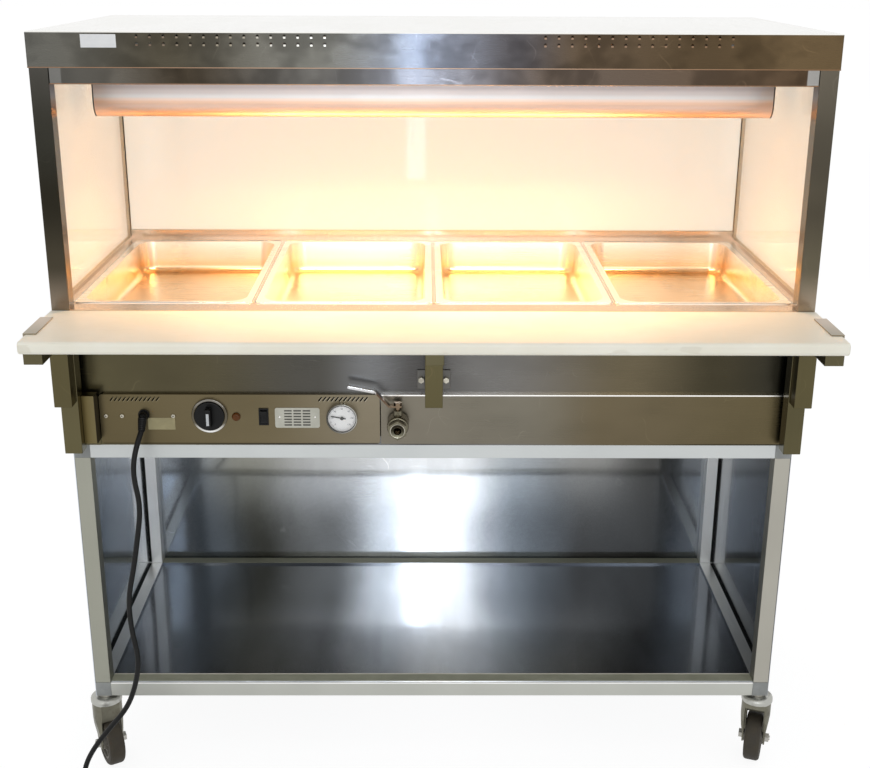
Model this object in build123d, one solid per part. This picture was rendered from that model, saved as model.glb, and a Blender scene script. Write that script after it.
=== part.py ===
from build123d import *
import math
import os

# Hot food bar on a mobile stand, millimetres, +Z up, +Y to the guests' side.
# The origin is on the floor under the middle of the object's box, its lead left out.

# Overall sizes
stand_height = 705.0
bar_height = 750.0
board_reach = 197.0

# Sheet and clearances
sheet = 1.2
fit = 0.3
running = 0.05

# Stand
tube = 30.0
tube_wall = 2.0
stand_setback = 55.0
caster_height = 158.0
spigot_length = 28.0
shelf_drop = 3.0
shelf_front_flange = 26.0
shelf_flange = 12.0
rivet_rows = 4
rivet_margin = 70.0
rivet_head_d = 9.0
rivet_head_h = 1.8
rivet_shank_d = 4.8
rivet_shank_l = 6.0

# Casters
wheel_d = 100.0
wheel_width = 32.0
tyre_depth = 14.0
tyre_round = 7.0
hub_boss_d = 30.0
caster_trail = 8.0
front_left_turn = 210.0
front_right_turn = -20.0
swivel_head_d = 62.0
swivel_head_h = 12.0
swivel_head_lip = 1.5
stem_d = 12.0
stem_length = 38.0
stem_collar_d = 30.0
stem_collar_h = 4.0
king_nut_d = 22.0
king_nut_h = 6.0
fork_gap = 40.0
fork_top_width = 62.0
fork_depth = 46.0
fork_foot_width = 46.0
fork_crown_h = 13.0
fork_web_gap = 2.5
fork_shoulder_h = 20.0
fork_foot_r = 13.0
fork_foot_rise = 4.0
axle_d = 10.0
axle_head_af = 17.0
axle_head_h = 7.0
axle_nut_h = 9.5
axle_tip = 2.0
hub_recess = 3.0

# Posts, canopy and glass
post = 32.0
post_wall = 1.5
edge = 9.0
fascia_height = 59.0
cover_round = 2.0
vent_columns = 15
vent_pitch = 22.25
vent_d = 5.0
vent_first_row = 6.5
vent_row_pitch = 12.5
vent_group_share = 0.25
canopy_rail_h = 40.0
canopy_rail_w = 25.0
canopy_rail_below = 27.0
strap_width = 30.0
strap_thick = 4.0
strap_lift = 3.0
strap_share = 0.36
glass = 6.0
glass_groove = 6.0
sill_height = 18.0
end_sill_height = 4.0
end_groove = 2.5

# Heat lamp
lamp_end_gap = 49.5
lamp_setback = 215.0
lamp_width = 100.0
lamp_height = 82.0
lamp_band = 56.0
lamp_tuck = 15.0
lamp_wall = 2.5
lamp_mouth = 56.0
lamp_cap = 2.5
quartz_d = 12.0
quartz_spacing = 30.0
quartz_rise = 24.0
holder_d = 20.0
holder_length = 16.0

# Deck, tank and pans
pan_rim_height = 275.0
pan_length = 530.0
pan_width = 325.0
pan_gap = 2.0
pan_count = 4
pan_depth = 65.0
pan_wall = 1.0
pan_rim = 1.2
pan_flange = 14.0
pan_taper = 6.0
pan_corner = 34.0
pan_rim_corner = 12.0
pan_floor_round = 14.0
pan_setback = 46.0
pan_rear_margin = 39.0
pan_end_margin = 24.5
pan_ledge = 11.0
deck_apron = 20.0
tank_depth = 140.0
bar_w = 18.0
bar_h = 8.0

# Body panels
upper_panel_setback = 54.0
lower_panel_setback = 45.0
lower_panel_top = 100.0
panel_foot_gap = 3.0
base_lip = 18.0
control_inset = 57.5
control_width = 520.0
panel_seam = 2.0
control_round = 6.0
wiring_cover_w = 24.0
wiring_cover_gap = 1.0
wiring_cover_reach = 25.0
wiring_cover_lift = 10.0
wiring_cover_over = 5.0

# Controls
control_rise = 57.0
knob_along = 204.0
knob_rise = 60.0
knob_d = 56.0
knob_skirt_h = 6.5
knob_round = 2.0
knob_grip_w = 11.0
knob_grip_l = 38.0
knob_grip_h = 18.0
knob_lift = 2.5
pointer_w = 5.5
pointer_l = 24.0
pointer_h = 0.8
spindle_d = 6.0
spindle_length = 30.0
bezel_d = 67.0
bezel_h = 6.0
bezel_gap = 1.0
thermostat_d = 40.0
thermostat_length = 38.0
bush_d = 11.0
lens_along = 253.0
lens_d = 16.0
lens_h = 6.0
lens_body_d = 12.0
lens_body_l = 24.0
rocker_along = 304.0
rocker_w = 12.4
rocker_h = 25.0
rocker_thick = 9.0
rocker_tilt = 9.0
rocker_frame_w = 18.0
rocker_frame_h = 33.0
rocker_frame_t = 2.5
rocker_house_w = 15.4
rocker_house_h = 29.0
rocker_house_l = 20.0
rocker_pin_d = 3.0
rocker_pin_depth = 2.0
rocker_lean_room = 2.0
rocker_dish_r = 40.0
rocker_dish = 2.0
rocker_lead = 1.0
dial_along = 450.0
dial_d = 58.0
dial_proud = 14.0
dial_rim = 2.5
dial_plate_depth = 7.0
dial_glass = 1.5
dial_back_d = 40.0
dial_back_l = 16.0
needle_length = 21.0
needle_tail = 7.0
needle_w = 2.0
needle_t = 0.7
needle_hub_d = 5.0
needle_pin_d = 2.0
needle_pin_l = 8.0
needle_rest = 10.0
gland_along = 82.0
gland_rise = 61.0
gland_flange_d = 21.0
gland_flange_h = 4.0
gland_boss_d = 16.0
gland_boss_l = 8.0
gland_tail = 14.0
gland_sleeve_l = 28.0
gland_sleeve_drop = 50.0
gland_tip_d = 12.0
louvre_count = 12
louvre_pitch = 7.7
louvre_alongs = (66.5, 452.0)
louvre_rise = 91.5
louvre_h = 10.5
louvre_w = 2.6
louvre_slant = 38.0
screw_alongs = (11.0, 41.0, 136.0)
screw_rise = 58.0
screw_head_d = 8.0
screw_head_h = 2.5
screw_shank_d = 4.0
screw_shank_l = 9.0

# Drain
valve_along = 34.0
valve_rise = 49.0
valve_reach = 10.0
valve_stem_setback = 26.0
valve_end_d = 32.0
valve_end_l = 14.0
valve_barrel_d = 40.0
barrel_short = 2.0
valve_bore = 15.0
valve_inlet_d = 26.0
ball_d = 25.0
ball_gap = 0.2
seat_gap = 0.3
seat_d = 19.0
valve_stem_d = 8.0
valve_boss_d = 18.0
valve_boss_h = 8.0
valve_stem_top = 43.0
valve_nut_af = 13.0
valve_nut_h = 5.0
lever_t = 3.0
lever_w = 14.0
lever_flat = 16.0
lever_slope_x = 42.0
lever_slope_z = 30.0
lever_grip_x = 92.0
lever_grip_z = 40.0
lever_grip_w = 16.0
lever_grip_t = 7.0
drain_pipe_d = 22.0
drain_pipe_wall = 2.5
drain_setback = 130.0
drain_bend = 32.0

# Element under the pans
element_d = 9.0
element_rise = 24.0
element_margin = 150.0
element_inset = 53.0
element_bend = 60.0
element_collar_d = 20.0
element_collar_h = 5.0

# Board
board_thick = 22.0
board_round = 7.0
board_gap = 1.0
board_over = 3.0
bracket_w = 32.0
bracket_wall = 2.5
bracket_deep = 28.0
bracket_low = 100.0
arm_height = 25.0
arm_reach = 170.0
standoff_low = 112.0
standoff_h = 32.0
foot_plate_w = 62.0
foot_plate_h = 38.0
foot_plate_t = 3.0
foot_bolt_x = 23.0
foot_bolt_af = 10.0
foot_bolt_h = 6.0
foot_bolt_d = 6.0
foot_bolt_l = 14.0
clip_from = 153.0
clip_to = 51.0
clip_w = 20.0
clip_t = 2.0

# Lead
cord_d = 10.0
coil_aside = 98.0
coil_y = -137.0
coil_radius = 54.0
coil_pitch = 10.6
coil_half_turns = 3
tie_w = 7.0
tie_t = 0.8
tie_gap = 0.2
tie_sag = 1.0
plug_w = 42.0
plug_l = 46.0
plug_t = 27.0
plug_round = 5.0
plug_neck_d = 15.0
plug_neck_tip_d = 12.0
plug_neck_l = 28.0
pin_w = 7.0
pin_t = 1.8
pin_l = 18.0
pin_spread = 9.5
cord_lead = 37.0
# The free stretch below the gland: left of the gland, from the posts' front, and above the floor.
cord_route = [
    (18.0, -11.0, 668.0),
    (5.0, -10.0, 604.0),
    (18.0, -10.5, 541.0),
    (29.0, -12.0, 480.0),
    (41.0, -14.0, 415.0),
    (39.0, -18.0, 350.0),
    (25.0, -23.0, 290.0),
    (35.0, -30.0, 235.0),
    (51.0, -34.0, 187.0),
    (85.0, -36.0, 143.0),
    (117.0, -36.5, 100.0),
    (138.0, -40.0, 62.0),
    (149.0, -54.0, 32.0),
    (152.0, -79.0, 13.0),
    (152.0, -104.0, 6.3),
]

# Places worked out from the sizes above
pan_pitch = pan_width + pan_gap
bar_width = pan_count * pan_pitch - pan_gap + 2 * pan_end_margin
bar_depth = pan_setback + pan_length + pan_rear_margin
half_w = bar_width / 2
rear_reach = bar_depth - tube / 2 + wheel_d / 2 + caster_trail
post_y = (board_reach - rear_reach) / 2
rear_y = post_y + bar_depth
base_z = stand_height
top_z = stand_height + bar_height
stand_y0 = post_y + stand_setback
stand_y1 = rear_y
leg_x = half_w - tube / 2
leg_ys = (stand_y0 + tube / 2, stand_y1 - tube / 2)
low_z0 = caster_height
low_z1 = caster_height + tube
high_z0 = stand_height - tube
rim_z = base_z + pan_rim_height
deck_z = rim_z - pan_rim
tank_z = deck_z - tank_depth
upper_y = post_y + upper_panel_setback
lower_y = post_y + lower_panel_setback
panel_top_z = base_z + lower_panel_top
panel_low_z = base_z + panel_foot_gap
control_z = base_z + control_rise
knob_z = base_z + knob_rise
cover_z = top_z - fascia_height
rail_z0 = cover_z - canopy_rail_below
rail_z1 = rail_z0 + canopy_rail_h
sill_z = deck_z + sill_height
end_sill_z = deck_z + end_sill_height
glass_mid = edge / 2
pan_y0 = post_y + pan_setback
tank_x = (pan_pitch * (pan_count - 1) + pan_width) / 2 - pan_ledge
tank_y0 = pan_y0 + pan_ledge
tank_y1 = pan_y0 + pan_length - pan_ledge
board_top_z = rim_z - 2.0
board_low_z = board_top_z - board_thick
board_x = half_w + board_over
lamp_length = bar_width - 2 * lamp_end_gap
lamp_y = post_y + lamp_setback
lamp_top_z = rail_z0 + strap_lift
control_x0 = control_inset - half_w
control_x1 = control_x0 + control_width
wiring_cover_x1 = control_x0 - wiring_cover_gap
wiring_cover_x0 = wiring_cover_x1 - wiring_cover_w
knob_x = control_x0 + knob_along
lens_x = control_x0 + lens_along
rocker_x = control_x0 + rocker_along
dial_x = control_x0 + dial_along
gland_x = control_x0 + gland_along
screw_xs = [control_x0 + along for along in screw_alongs]
valve_x = control_x1 + valve_along
valve_z = base_z + valve_rise
valve_stem_y = post_y + valve_stem_setback
screw_z = base_z + screw_rise


def block(x0, x1, y0, y1, z0, z1):
    """A box between two corners."""
    return Pos((x0 + x1) / 2, (y0 + y1) / 2, (z0 + z1) / 2) * Box(x1 - x0, y1 - y0, z1 - z0)


def rod_x(d, x0, x1, y, z):
    """A round bar along X."""
    return Pos((x0 + x1) / 2, y, z) * Rot(0, 90, 0) * Cylinder(d / 2, x1 - x0)


def rod_y(d, x, y0, y1, z):
    """A round bar along Y."""
    return Pos(x, (y0 + y1) / 2, z) * Rot(90, 0, 0) * Cylinder(d / 2, y1 - y0)


def rod_z(d, x, y, z0, z1):
    """A round bar along Z."""
    return Pos(x, y, (z0 + z1) / 2) * Cylinder(d / 2, z1 - z0)


def hex_bar(across, length):
    """A hexagonal bar standing on the XY plane."""
    return extrude(RegularPolygon(across / 2, 6, major_radius=False), length)


def write(name, *solids):
    """One STEP file for one node."""
    shape = solids[0] if len(solids) == 1 else Compound(children=list(solids))
    export_step(shape, f"parts/{name}.step")


def corners():
    """The four corners of the stand, left to right and front to back."""
    return [(sx, sy) for sy in (0, 1) for sx in (-1, 1)]


# Stand


def rivet_places():
    """Each rivet's place on the stand's outside, with the way that it points inwards."""
    span = high_z0 - low_z1 - 2 * rivet_margin
    heights = [low_z1 + rivet_margin + span * i / (rivet_rows - 1) for i in range(rivet_rows)]
    places = []
    for z in heights:
        for sx in (-1, 1):
            places.append((Vector(sx * leg_x, stand_y1, z), Vector(0, -1, 0)))
            for y in leg_ys:
                places.append((Vector(sx * half_w, y, z), Vector(-sx, 0, 0)))
    return places


def rivet_holes():
    """Clear holes for the rivets, through panel and tube wall."""
    depth = sheet + tube_wall + fit
    holes = []
    for at, inward in rivet_places():
        plane = Plane(origin=at - inward * (sheet + fit), z_dir=inward)
        holes.append(extrude(plane * Circle(rivet_shank_d / 2 + fit), depth + fit))
    return holes


def make_rivet(at, inward):
    """A domed blind rivet on the outside of a panel."""
    face = at - inward * sheet
    head = extrude(Plane(origin=face, z_dir=-inward) * Circle(rivet_head_d / 2), rivet_head_h)
    head = fillet(head.edges().group_by(Axis(face, -inward))[-1], rivet_head_h * 0.6)
    shank = extrude(Plane(origin=face, z_dir=inward) * Circle(rivet_shank_d / 2), rivet_shank_l)
    return head + shank


def make_legs(holes):
    """Four square tube legs between the corner connectors."""
    legs = []
    for sx, sy in corners():
        x, y = sx * leg_x, leg_ys[sy]
        leg = Pos(x, y, (low_z1 + high_z0) / 2) * Box(tube, tube, high_z0 - low_z1)
        bore = tube - 2 * tube_wall
        leg = leg - Pos(x, y, (low_z1 + high_z0) / 2) * Box(bore, bore, high_z0 - low_z1)
        near = [h for h in holes if (h.center() - Vector(x, y, h.center().Z)).length < tube]
        legs.append(leg - near)
    return legs


def make_rails():
    """Eight rails: a long pair and a short pair at the bottom and at the top."""
    bore = tube - 2 * tube_wall
    long_half = half_w - tube
    short_length = stand_y1 - stand_y0 - 2 * tube
    middle_y = (stand_y0 + stand_y1) / 2
    rails = []
    for z0 in (low_z0, high_z0):
        z = z0 + tube / 2
        for y in leg_ys:
            bar = Pos(0, y, z) * Box(2 * long_half, tube, tube)
            rails.append(bar - Pos(0, y, z) * Box(2 * long_half, bore, bore))
        for sx in (-1, 1):
            bar = Pos(sx * leg_x, middle_y, z) * Box(tube, short_length, tube)
            rails.append(bar - Pos(sx * leg_x, middle_y, z) * Box(bore, short_length, bore))
    return rails


def make_connectors():
    """Moulded corner cubes with a spigot into each tube, bored for a caster stem below."""
    spigot = tube - 2 * tube_wall - 2 * fit
    reach = tube + spigot_length
    solids = []
    for sx, sy in corners():
        x, y = sx * leg_x, leg_ys[sy]
        into_y = 1 if sy == 0 else -1
        for z0, into_z in ((low_z0, 1), (high_z0, -1)):
            z = z0 + tube / 2
            cube = Pos(x, y, z) * Box(tube, tube, tube)
            along = reach / 2 - tube / 2
            cube += Pos(x - sx * along, y, z) * Box(reach, spigot, spigot)
            cube += Pos(x, y + into_y * along, z) * Box(spigot, reach, spigot)
            cube += Pos(x, y, z + into_z * along) * Box(spigot, spigot, reach)
            if z0 == low_z0:
                cube -= rod_z(stem_d + 2 * fit, x, y, z0, z0 + stem_length + fit)
            solids.append(cube)
    return solids


def make_shelf():
    """A shallow tray between the lower rails, its flanges lying on them."""
    x1 = half_w - tube - fit
    y0 = stand_y0 + tube + fit
    y1 = stand_y1 - tube - fit
    z0 = low_z1 - shelf_drop - sheet
    z1 = low_z1 + sheet
    tray = block(-x1, x1, y0, y1, z0, z1)
    tray -= block(-x1 + sheet, x1 - sheet, y0 + sheet, y1 - sheet, z0 + sheet, z1)
    tray += block(-x1, x1, y0 - shelf_front_flange, y0, low_z1, z1)
    tray += block(-x1, x1, y1, y1 + shelf_flange, low_z1, z1)
    for sx in (-1, 1):
        middle = sx * (x1 + shelf_flange / 2)
        tray += block(middle - shelf_flange / 2, middle + shelf_flange / 2, y0, y1, low_z1, z1)
    return tray


def make_back_panel(holes):
    """The polished sheet on the back of the stand."""
    panel = block(-half_w, half_w, stand_y1, stand_y1 + sheet, low_z0, stand_height)
    return panel - [h for h in holes if h.center().Y > stand_y1 - tube_wall]


def make_side_panels(holes):
    """The polished sheets on the ends of the stand."""
    panels = []
    for sx in (-1, 1):
        x0, x1 = sorted((sx * half_w, sx * (half_w + sheet)))
        panel = block(x0, x1, stand_y0, stand_y1, low_z0, stand_height)
        panels.append(panel - [h for h in holes if h.center().X * sx > half_w - tube_wall])
    return panels


# Casters


def make_stem(x, y):
    """A caster's stem, its collar under the connector and its nut under the fork's crown."""
    crown_z = low_z0 - stem_collar_h - fit - swivel_head_h - fork_crown_h
    stem = rod_z(stem_d, x, y, crown_z - king_nut_h - fit, low_z0 + stem_length)
    stem += rod_z(stem_collar_d, x, y, low_z0 - stem_collar_h, low_z0)
    nut = Pos(x, y, crown_z - king_nut_h - fit) * hex_bar(king_nut_d, king_nut_h)
    return stem + nut


def make_fork():
    """A cast fork over the origin: round head, crown with a web, and two legs that trail to the rear."""
    head_z1 = low_z0 - stem_collar_h - fit
    head_z0 = head_z1 - swivel_head_h
    crown_z = head_z0 - fork_crown_h
    axle_z = wheel_d / 2
    foot_z = axle_z - fork_foot_r
    shoulder_z = crown_z - fork_shoulder_h
    head = rod_z(swivel_head_d, 0, 0, head_z0, head_z1)
    head = fillet(head.edges().group_by(Axis.Z)[-1], swivel_head_h * 0.6)
    half_top = fork_top_width / 2 - 2
    half_foot = fork_foot_width / 2
    front = Polyline(
        (-half_top, head_z0), (-half_top, shoulder_z), (-half_foot, axle_z + fork_foot_r),
        (-half_foot, foot_z), (half_foot, foot_z), (half_foot, axle_z + fork_foot_r),
        (half_top, shoulder_z), (half_top, head_z0), close=True)
    side_half = fork_depth / 2
    foot_half = fork_foot_r * 0.7
    ankle_z = axle_z + fork_foot_rise
    side = Polyline(
        (-side_half, head_z0), (-side_half, shoulder_z), (caster_trail - fork_foot_r, ankle_z),
        (caster_trail - foot_half, foot_z), (caster_trail + foot_half, foot_z),
        (caster_trail + fork_foot_r, ankle_z), (side_half, shoulder_z), (side_half, head_z0),
        close=True)
    depth = swivel_head_d + 2 * caster_trail + 2 * fork_foot_r
    front_form = extrude(Plane.XZ * make_face(front), depth / 2, both=True)
    side_form = extrude(Plane.YZ * make_face(side), fork_top_width, both=True)
    drum = rod_z(swivel_head_d - 2 * swivel_head_lip, 0, 0, 0, head_z0)
    body = front_form & side_form & drum
    web_y = king_nut_d / math.sqrt(3) + fit
    mouth = block(-fork_gap / 2, fork_gap / 2, -depth, depth, 0, crown_z)
    mouth -= block(-fork_gap / 2, fork_gap / 2, web_y, depth, wheel_d + fork_web_gap, crown_z)
    fork = body - mouth + head
    fork -= rod_z(stem_d + 2 * running, 0, 0, crown_z, head_z1)
    return fork - rod_x(axle_d + 2 * running, -fork_top_width, fork_top_width, caster_trail, axle_z)


def make_axle():
    """The wheel's bolt and nut, clamped across the fork's legs."""
    axle_z = wheel_d / 2
    outer = fork_foot_width / 2
    across = Rot(0, 90, 0)
    bolt = rod_x(axle_d, -outer, outer + axle_nut_h, caster_trail, axle_z)
    head = Pos(-outer - axle_head_h, caster_trail, axle_z) * across * hex_bar(axle_head_af, axle_head_h)
    nut = Pos(outer, caster_trail, axle_z) * across * hex_bar(axle_head_af, axle_nut_h - axle_tip)
    return bolt + head + nut


def make_wheel():
    """A moulded hub and the solid tyre bonded round it."""
    axle_z = wheel_d / 2
    core_d = wheel_d - 2 * tyre_depth
    half = wheel_width / 2
    tyre = rod_x(wheel_d, -half, half, caster_trail, axle_z)
    tyre = fillet(tyre.edges().filter_by(GeomType.CIRCLE), tyre_round)
    tyre -= rod_x(core_d, -half, half, caster_trail, axle_z)
    web = half - hub_recess
    boss = fork_gap / 2 - fit
    hub = rod_x(core_d - 2 * running, -web, web, caster_trail, axle_z)
    hub += rod_x(hub_boss_d, -boss, boss, caster_trail, axle_z)
    hub -= rod_x(axle_d + 2 * running, -boss, boss, caster_trail, axle_z)
    return tyre, hub


# Posts, canopy and glass


def make_posts():
    """Two square front posts and two slim rear corner posts."""
    solids = []
    inner = post - 2 * post_wall
    under_cover = top_z - sheet
    for sx in (-1, 1):
        x = sx * (half_w - post / 2)
        y = post_y + post / 2
        column = Pos(x, y, (base_z + under_cover) / 2) * Box(post, post, under_cover - base_z)
        bore_z0 = base_z + post_wall
        bore = Pos(x, y, (bore_z0 + under_cover) / 2) * Box(inner, inner, under_cover - bore_z0)
        solids.append(column - bore)
    for sx in (-1, 1):
        x = sx * (half_w - edge / 2)
        y = rear_y - edge / 2
        solids.append(Pos(x, y, (deck_z + under_cover) / 2) * Box(edge, edge, under_cover - deck_z))
    return solids


def vent_places():
    """The fascia's vent holes: two groups of columns in two rows, as X and Z."""
    places = []
    for sx in (-1, 1):
        for i in range(vent_columns):
            x = sx * vent_group_share * bar_width + (i - (vent_columns - 1) / 2) * vent_pitch
            for row in (0, 1):
                places.append((x, top_z - vent_first_row - row * vent_row_pitch))
    return places


def make_cover():
    """The folded canopy cover, with vent holes through its fascia."""
    grow = sheet + fit
    outer = block(-half_w - grow, half_w + grow, post_y - grow, rear_y + grow, cover_z, top_z)
    outer = fillet(outer.edges().filter_by(Axis.Z) + outer.edges().group_by(Axis.Z)[-1], cover_round)
    inner = block(-half_w - fit, half_w + fit, post_y - fit, rear_y + fit, cover_z, top_z - sheet)
    cover = outer - inner
    front = post_y - grow
    return cover - [rod_y(vent_d, x, front - fit, front + sheet + fit, z) for x, z in vent_places()]


def make_canopy_frame():
    """Rails under the cover between the posts, and two straps that carry the lamp."""
    inner_x = half_w - edge
    front_x = half_w - post
    front_y1 = post_y + 2.0 + canopy_rail_w
    rear_y0 = rear_y - canopy_rail_w
    solids = [
        block(-front_x, front_x, post_y + 2.0, front_y1, rail_z0, rail_z1),
        block(-inner_x, inner_x, rear_y0, rear_y, rail_z0, rail_z1),
    ]
    for sx in (-1, 1):
        x0, x1 = sorted((sx * inner_x, sx * half_w))
        solids.append(block(x0, x1, post_y + post, rear_y - edge, rail_z0, rail_z1))
        x0 = sx * strap_share * lamp_length - strap_width / 2
        solids.append(block(x0, x0 + strap_width, front_y1, rear_y0, lamp_top_z, lamp_top_z + strap_thick))
    return solids


def make_glass_panes():
    """The back pane and the two end panes, standing in the sills."""
    z1 = rail_z0 - fit
    back_x = half_w - edge - fit
    mid_y = rear_y - glass_mid
    panes = [block(-back_x, back_x, mid_y - glass / 2, mid_y + glass / 2, sill_z - glass_groove, z1)]
    for sx in (-1, 1):
        mid_x = sx * (half_w - glass_mid)
        y0, y1 = post_y + post + fit, rear_y - edge - fit
        panes.append(block(mid_x - glass / 2, mid_x + glass / 2, y0, y1, end_sill_z - end_groove, z1))
    return panes


def make_sills():
    """Grooved sills on the deck that hold the panes' lower edges: high at the back, low at the ends."""
    groove = glass / 2 + fit
    back_x = half_w - edge
    mid_y = rear_y - glass_mid
    back = block(-back_x, back_x, rear_y - edge, rear_y, deck_z, sill_z)
    sills = [back - block(-back_x, back_x, mid_y - groove, mid_y + groove, sill_z - glass_groove, sill_z)]
    for sx in (-1, 1):
        x0, x1 = sorted((sx * back_x, sx * half_w))
        mid_x = sx * (half_w - glass_mid)
        y0, y1 = post_y + post, rear_y - edge
        z0 = end_sill_z - end_groove
        sill = block(x0, x1, y0, y1, deck_z, end_sill_z)
        sills.append(sill - block(mid_x - groove, mid_x + groove, y0, y1, z0, end_sill_z))
    return sills


# Heat lamp


def lamp_profile():
    """The lamp's outline in Y and Z: flat sides that curve in under it."""
    y0, y1 = lamp_y, lamp_y + lamp_width
    z0, z1 = lamp_top_z - lamp_height, lamp_top_z
    bend_z = z1 - lamp_band
    outline = Curve() + [
        Line((y0, z1), (y0, bend_z)),
        TangentArc((y0, bend_z), (y0 + lamp_tuck, z0), tangent=(0, -1)),
        Line((y0 + lamp_tuck, z0), (y1 - lamp_tuck, z0)),
        TangentArc((y1, bend_z), (y1 - lamp_tuck, z0), tangent=(0, -1)),
        Line((y1, bend_z), (y1, z1)),
        Line((y1, z1), (y0, z1)),
    ]
    return make_face(outline.edges())


def quartz_ys():
    """The places of the two quartz tubes across the lamp."""
    middle = lamp_y + lamp_width / 2
    return (middle - quartz_spacing / 2, middle + quartz_spacing / 2)


def quartz_z():
    """The height of the quartz tubes."""
    return lamp_top_z - lamp_height + quartz_rise


def make_lamp_housing():
    """The extruded lamp body, open along its underside."""
    outline = lamp_profile()
    middle = lamp_y + lamp_width / 2
    low = lamp_top_z - lamp_height
    skin = outline - offset(outline, amount=-lamp_wall)
    skin -= Pos(middle, low) * Rectangle(lamp_mouth, 4 * lamp_wall)
    return Pos(-lamp_length / 2, 0, 0) * extrude(Plane.YZ * skin, lamp_length)


def make_lamp_caps():
    """End plates with the holders that the quartz tubes plug into."""
    caps = []
    for sx in (-1, 1):
        face = sx * lamp_length / 2
        plate = extrude(Plane.YZ * lamp_profile(), sx * lamp_cap)
        cap = Pos(face, 0, 0) * plate
        for y in quartz_ys():
            x0, x1 = sorted((face, face - sx * holder_length))
            cap += rod_x(holder_d, x0, x1, y, quartz_z())
            cap -= rod_x(quartz_d + 2 * fit, x0, x1, y, quartz_z())
        caps.append(cap)
    return caps


def make_quartz_tubes():
    """Two quartz heat tubes along the lamp."""
    half = lamp_length / 2 - fit
    return [rod_x(quartz_d, -half, half, y, quartz_z()) for y in quartz_ys()]


# Deck, tank and pans


def make_tank():
    """The deck and the open tank welded under it, with a drain hole in its floor."""
    deck = block(-half_w, half_w, post_y, rear_y, deck_z - sheet, deck_z)
    post_cut = post + fit
    for sx in (-1, 1):
        x0, x1 = sorted((sx * (half_w - post_cut), sx * half_w))
        deck -= block(x0, x1, post_y, post_y + post_cut, deck_z - sheet, deck_z)
    apron_x = half_w - post_cut
    deck += block(-apron_x, apron_x, post_y, post_y + sheet, deck_z - deck_apron, deck_z)
    outer = block(-tank_x - sheet, tank_x + sheet, tank_y0 - sheet, tank_y1 + sheet, tank_z - sheet, deck_z)
    inner = block(-tank_x, tank_x, tank_y0, tank_y1, tank_z, deck_z)
    tank = deck + outer - inner
    tank -= rod_z(drain_pipe_d - 2 * drain_pipe_wall, valve_x, post_y + drain_setback, tank_z - sheet, tank_z)
    for y in element_ys():
        tank -= rod_x(element_d + 2 * fit, -tank_x - sheet, -tank_x, y, tank_z + element_rise)
    return tank


def rounded_plate(length_x, length_y, radius, z):
    """A rounded rectangle at a height."""
    return Pos(0, 0, z) * RectangleRounded(length_x, length_y, radius)


def make_pan(index):
    """One gastronorm pan: a flat rim over a tapering basin with round corners."""
    x = (index - (pan_count - 1) / 2) * pan_pitch
    y = pan_y0 + pan_length / 2
    mouth_x = pan_width - 2 * pan_flange
    mouth_y = pan_length - 2 * pan_flange
    floor_z = rim_z - pan_depth
    outer = loft([
        rounded_plate(mouth_x, mouth_y, pan_corner, rim_z),
        rounded_plate(mouth_x - 2 * pan_taper, mouth_y - 2 * pan_taper, pan_corner - pan_taper / 2, floor_z),
    ])
    outer = fillet(outer.edges().group_by(Axis.Z)[0], pan_floor_round)
    wall = 2 * pan_wall
    inner = loft([
        rounded_plate(mouth_x - wall, mouth_y - wall, pan_corner - pan_wall, rim_z),
        rounded_plate(
            mouth_x - 2 * pan_taper - wall, mouth_y - 2 * pan_taper - wall,
            pan_corner - pan_taper / 2 - pan_wall, floor_z + pan_wall),
    ])
    inner = fillet(inner.edges().group_by(Axis.Z)[0], pan_floor_round - pan_wall)
    rim = extrude(rounded_plate(pan_width, pan_length, pan_rim_corner, deck_z), pan_rim)
    return Pos(x, y, 0) * (rim + outer - inner)


def make_pan_bars():
    """Bars across the tank that carry the pans' rims side by side."""
    bars = []
    for i in range(pan_count - 1):
        x = (i - (pan_count - 2) / 2) * pan_pitch
        bars.append(block(x - bar_w / 2, x + bar_w / 2, tank_y0, tank_y1, deck_z - bar_h, deck_z))
    return bars


def element_ys():
    """The two long runs of the element, front and back."""
    return (tank_y0 + element_margin, tank_y1 - element_margin)


def make_element():
    """A bent tubular element lying in the tank, its ends through the left wall."""
    z = tank_z + element_rise
    y0, y1 = element_ys()
    x0 = -tank_x - sheet - element_collar_h
    right = tank_x - element_inset
    route = FilletPolyline(
        (x0, y0, z), (right, y0, z), (right, y1, z), (x0, y1, z), radius=element_bend)
    section = Plane(origin=(x0, y0, z), z_dir=(1, 0, 0)) * Circle(element_d / 2)
    element = sweep(section, path=route)
    for y in (y0, y1):
        element += rod_x(element_collar_d, x0, x0 + element_collar_h, y, z)
    return element


# Body panels


def make_body_shell():
    """The folded casing: ends, back, base, upper front wall and the left-hand front piece."""
    side_z1 = deck_z - sheet
    inner_x = half_w - sheet
    shell = block(-half_w, half_w, rear_y - sheet, rear_y, base_z, side_z1)
    shell += block(-half_w, half_w, lower_y + sheet, rear_y, base_z, base_z + sheet)
    shell += block(-inner_x, inner_x, lower_y + sheet, lower_y + 2 * sheet, base_z, base_z + base_lip)
    shell += block(-inner_x, inner_x, upper_y, upper_y + sheet, panel_top_z - base_lip, side_z1)
    for sx in (-1, 1):
        x0, x1 = sorted((sx * inner_x, sx * half_w))
        shell += block(x0, x1, post_y + post, rear_y, base_z, side_z1)
    filler_x1 = control_x0 - panel_seam
    shell += block(-inner_x, filler_x1, lower_y, lower_y + sheet, base_z, panel_top_z)
    shell += block(-inner_x, filler_x1, lower_y, upper_y, panel_top_z - sheet, panel_top_z)
    holes = [
        rod_y(foot_bolt_d + 2 * fit, sx * foot_bolt_x, upper_y, upper_y + sheet, foot_bolt_z())
        for sx in (-1, 1)
    ]
    return shell - holes


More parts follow.
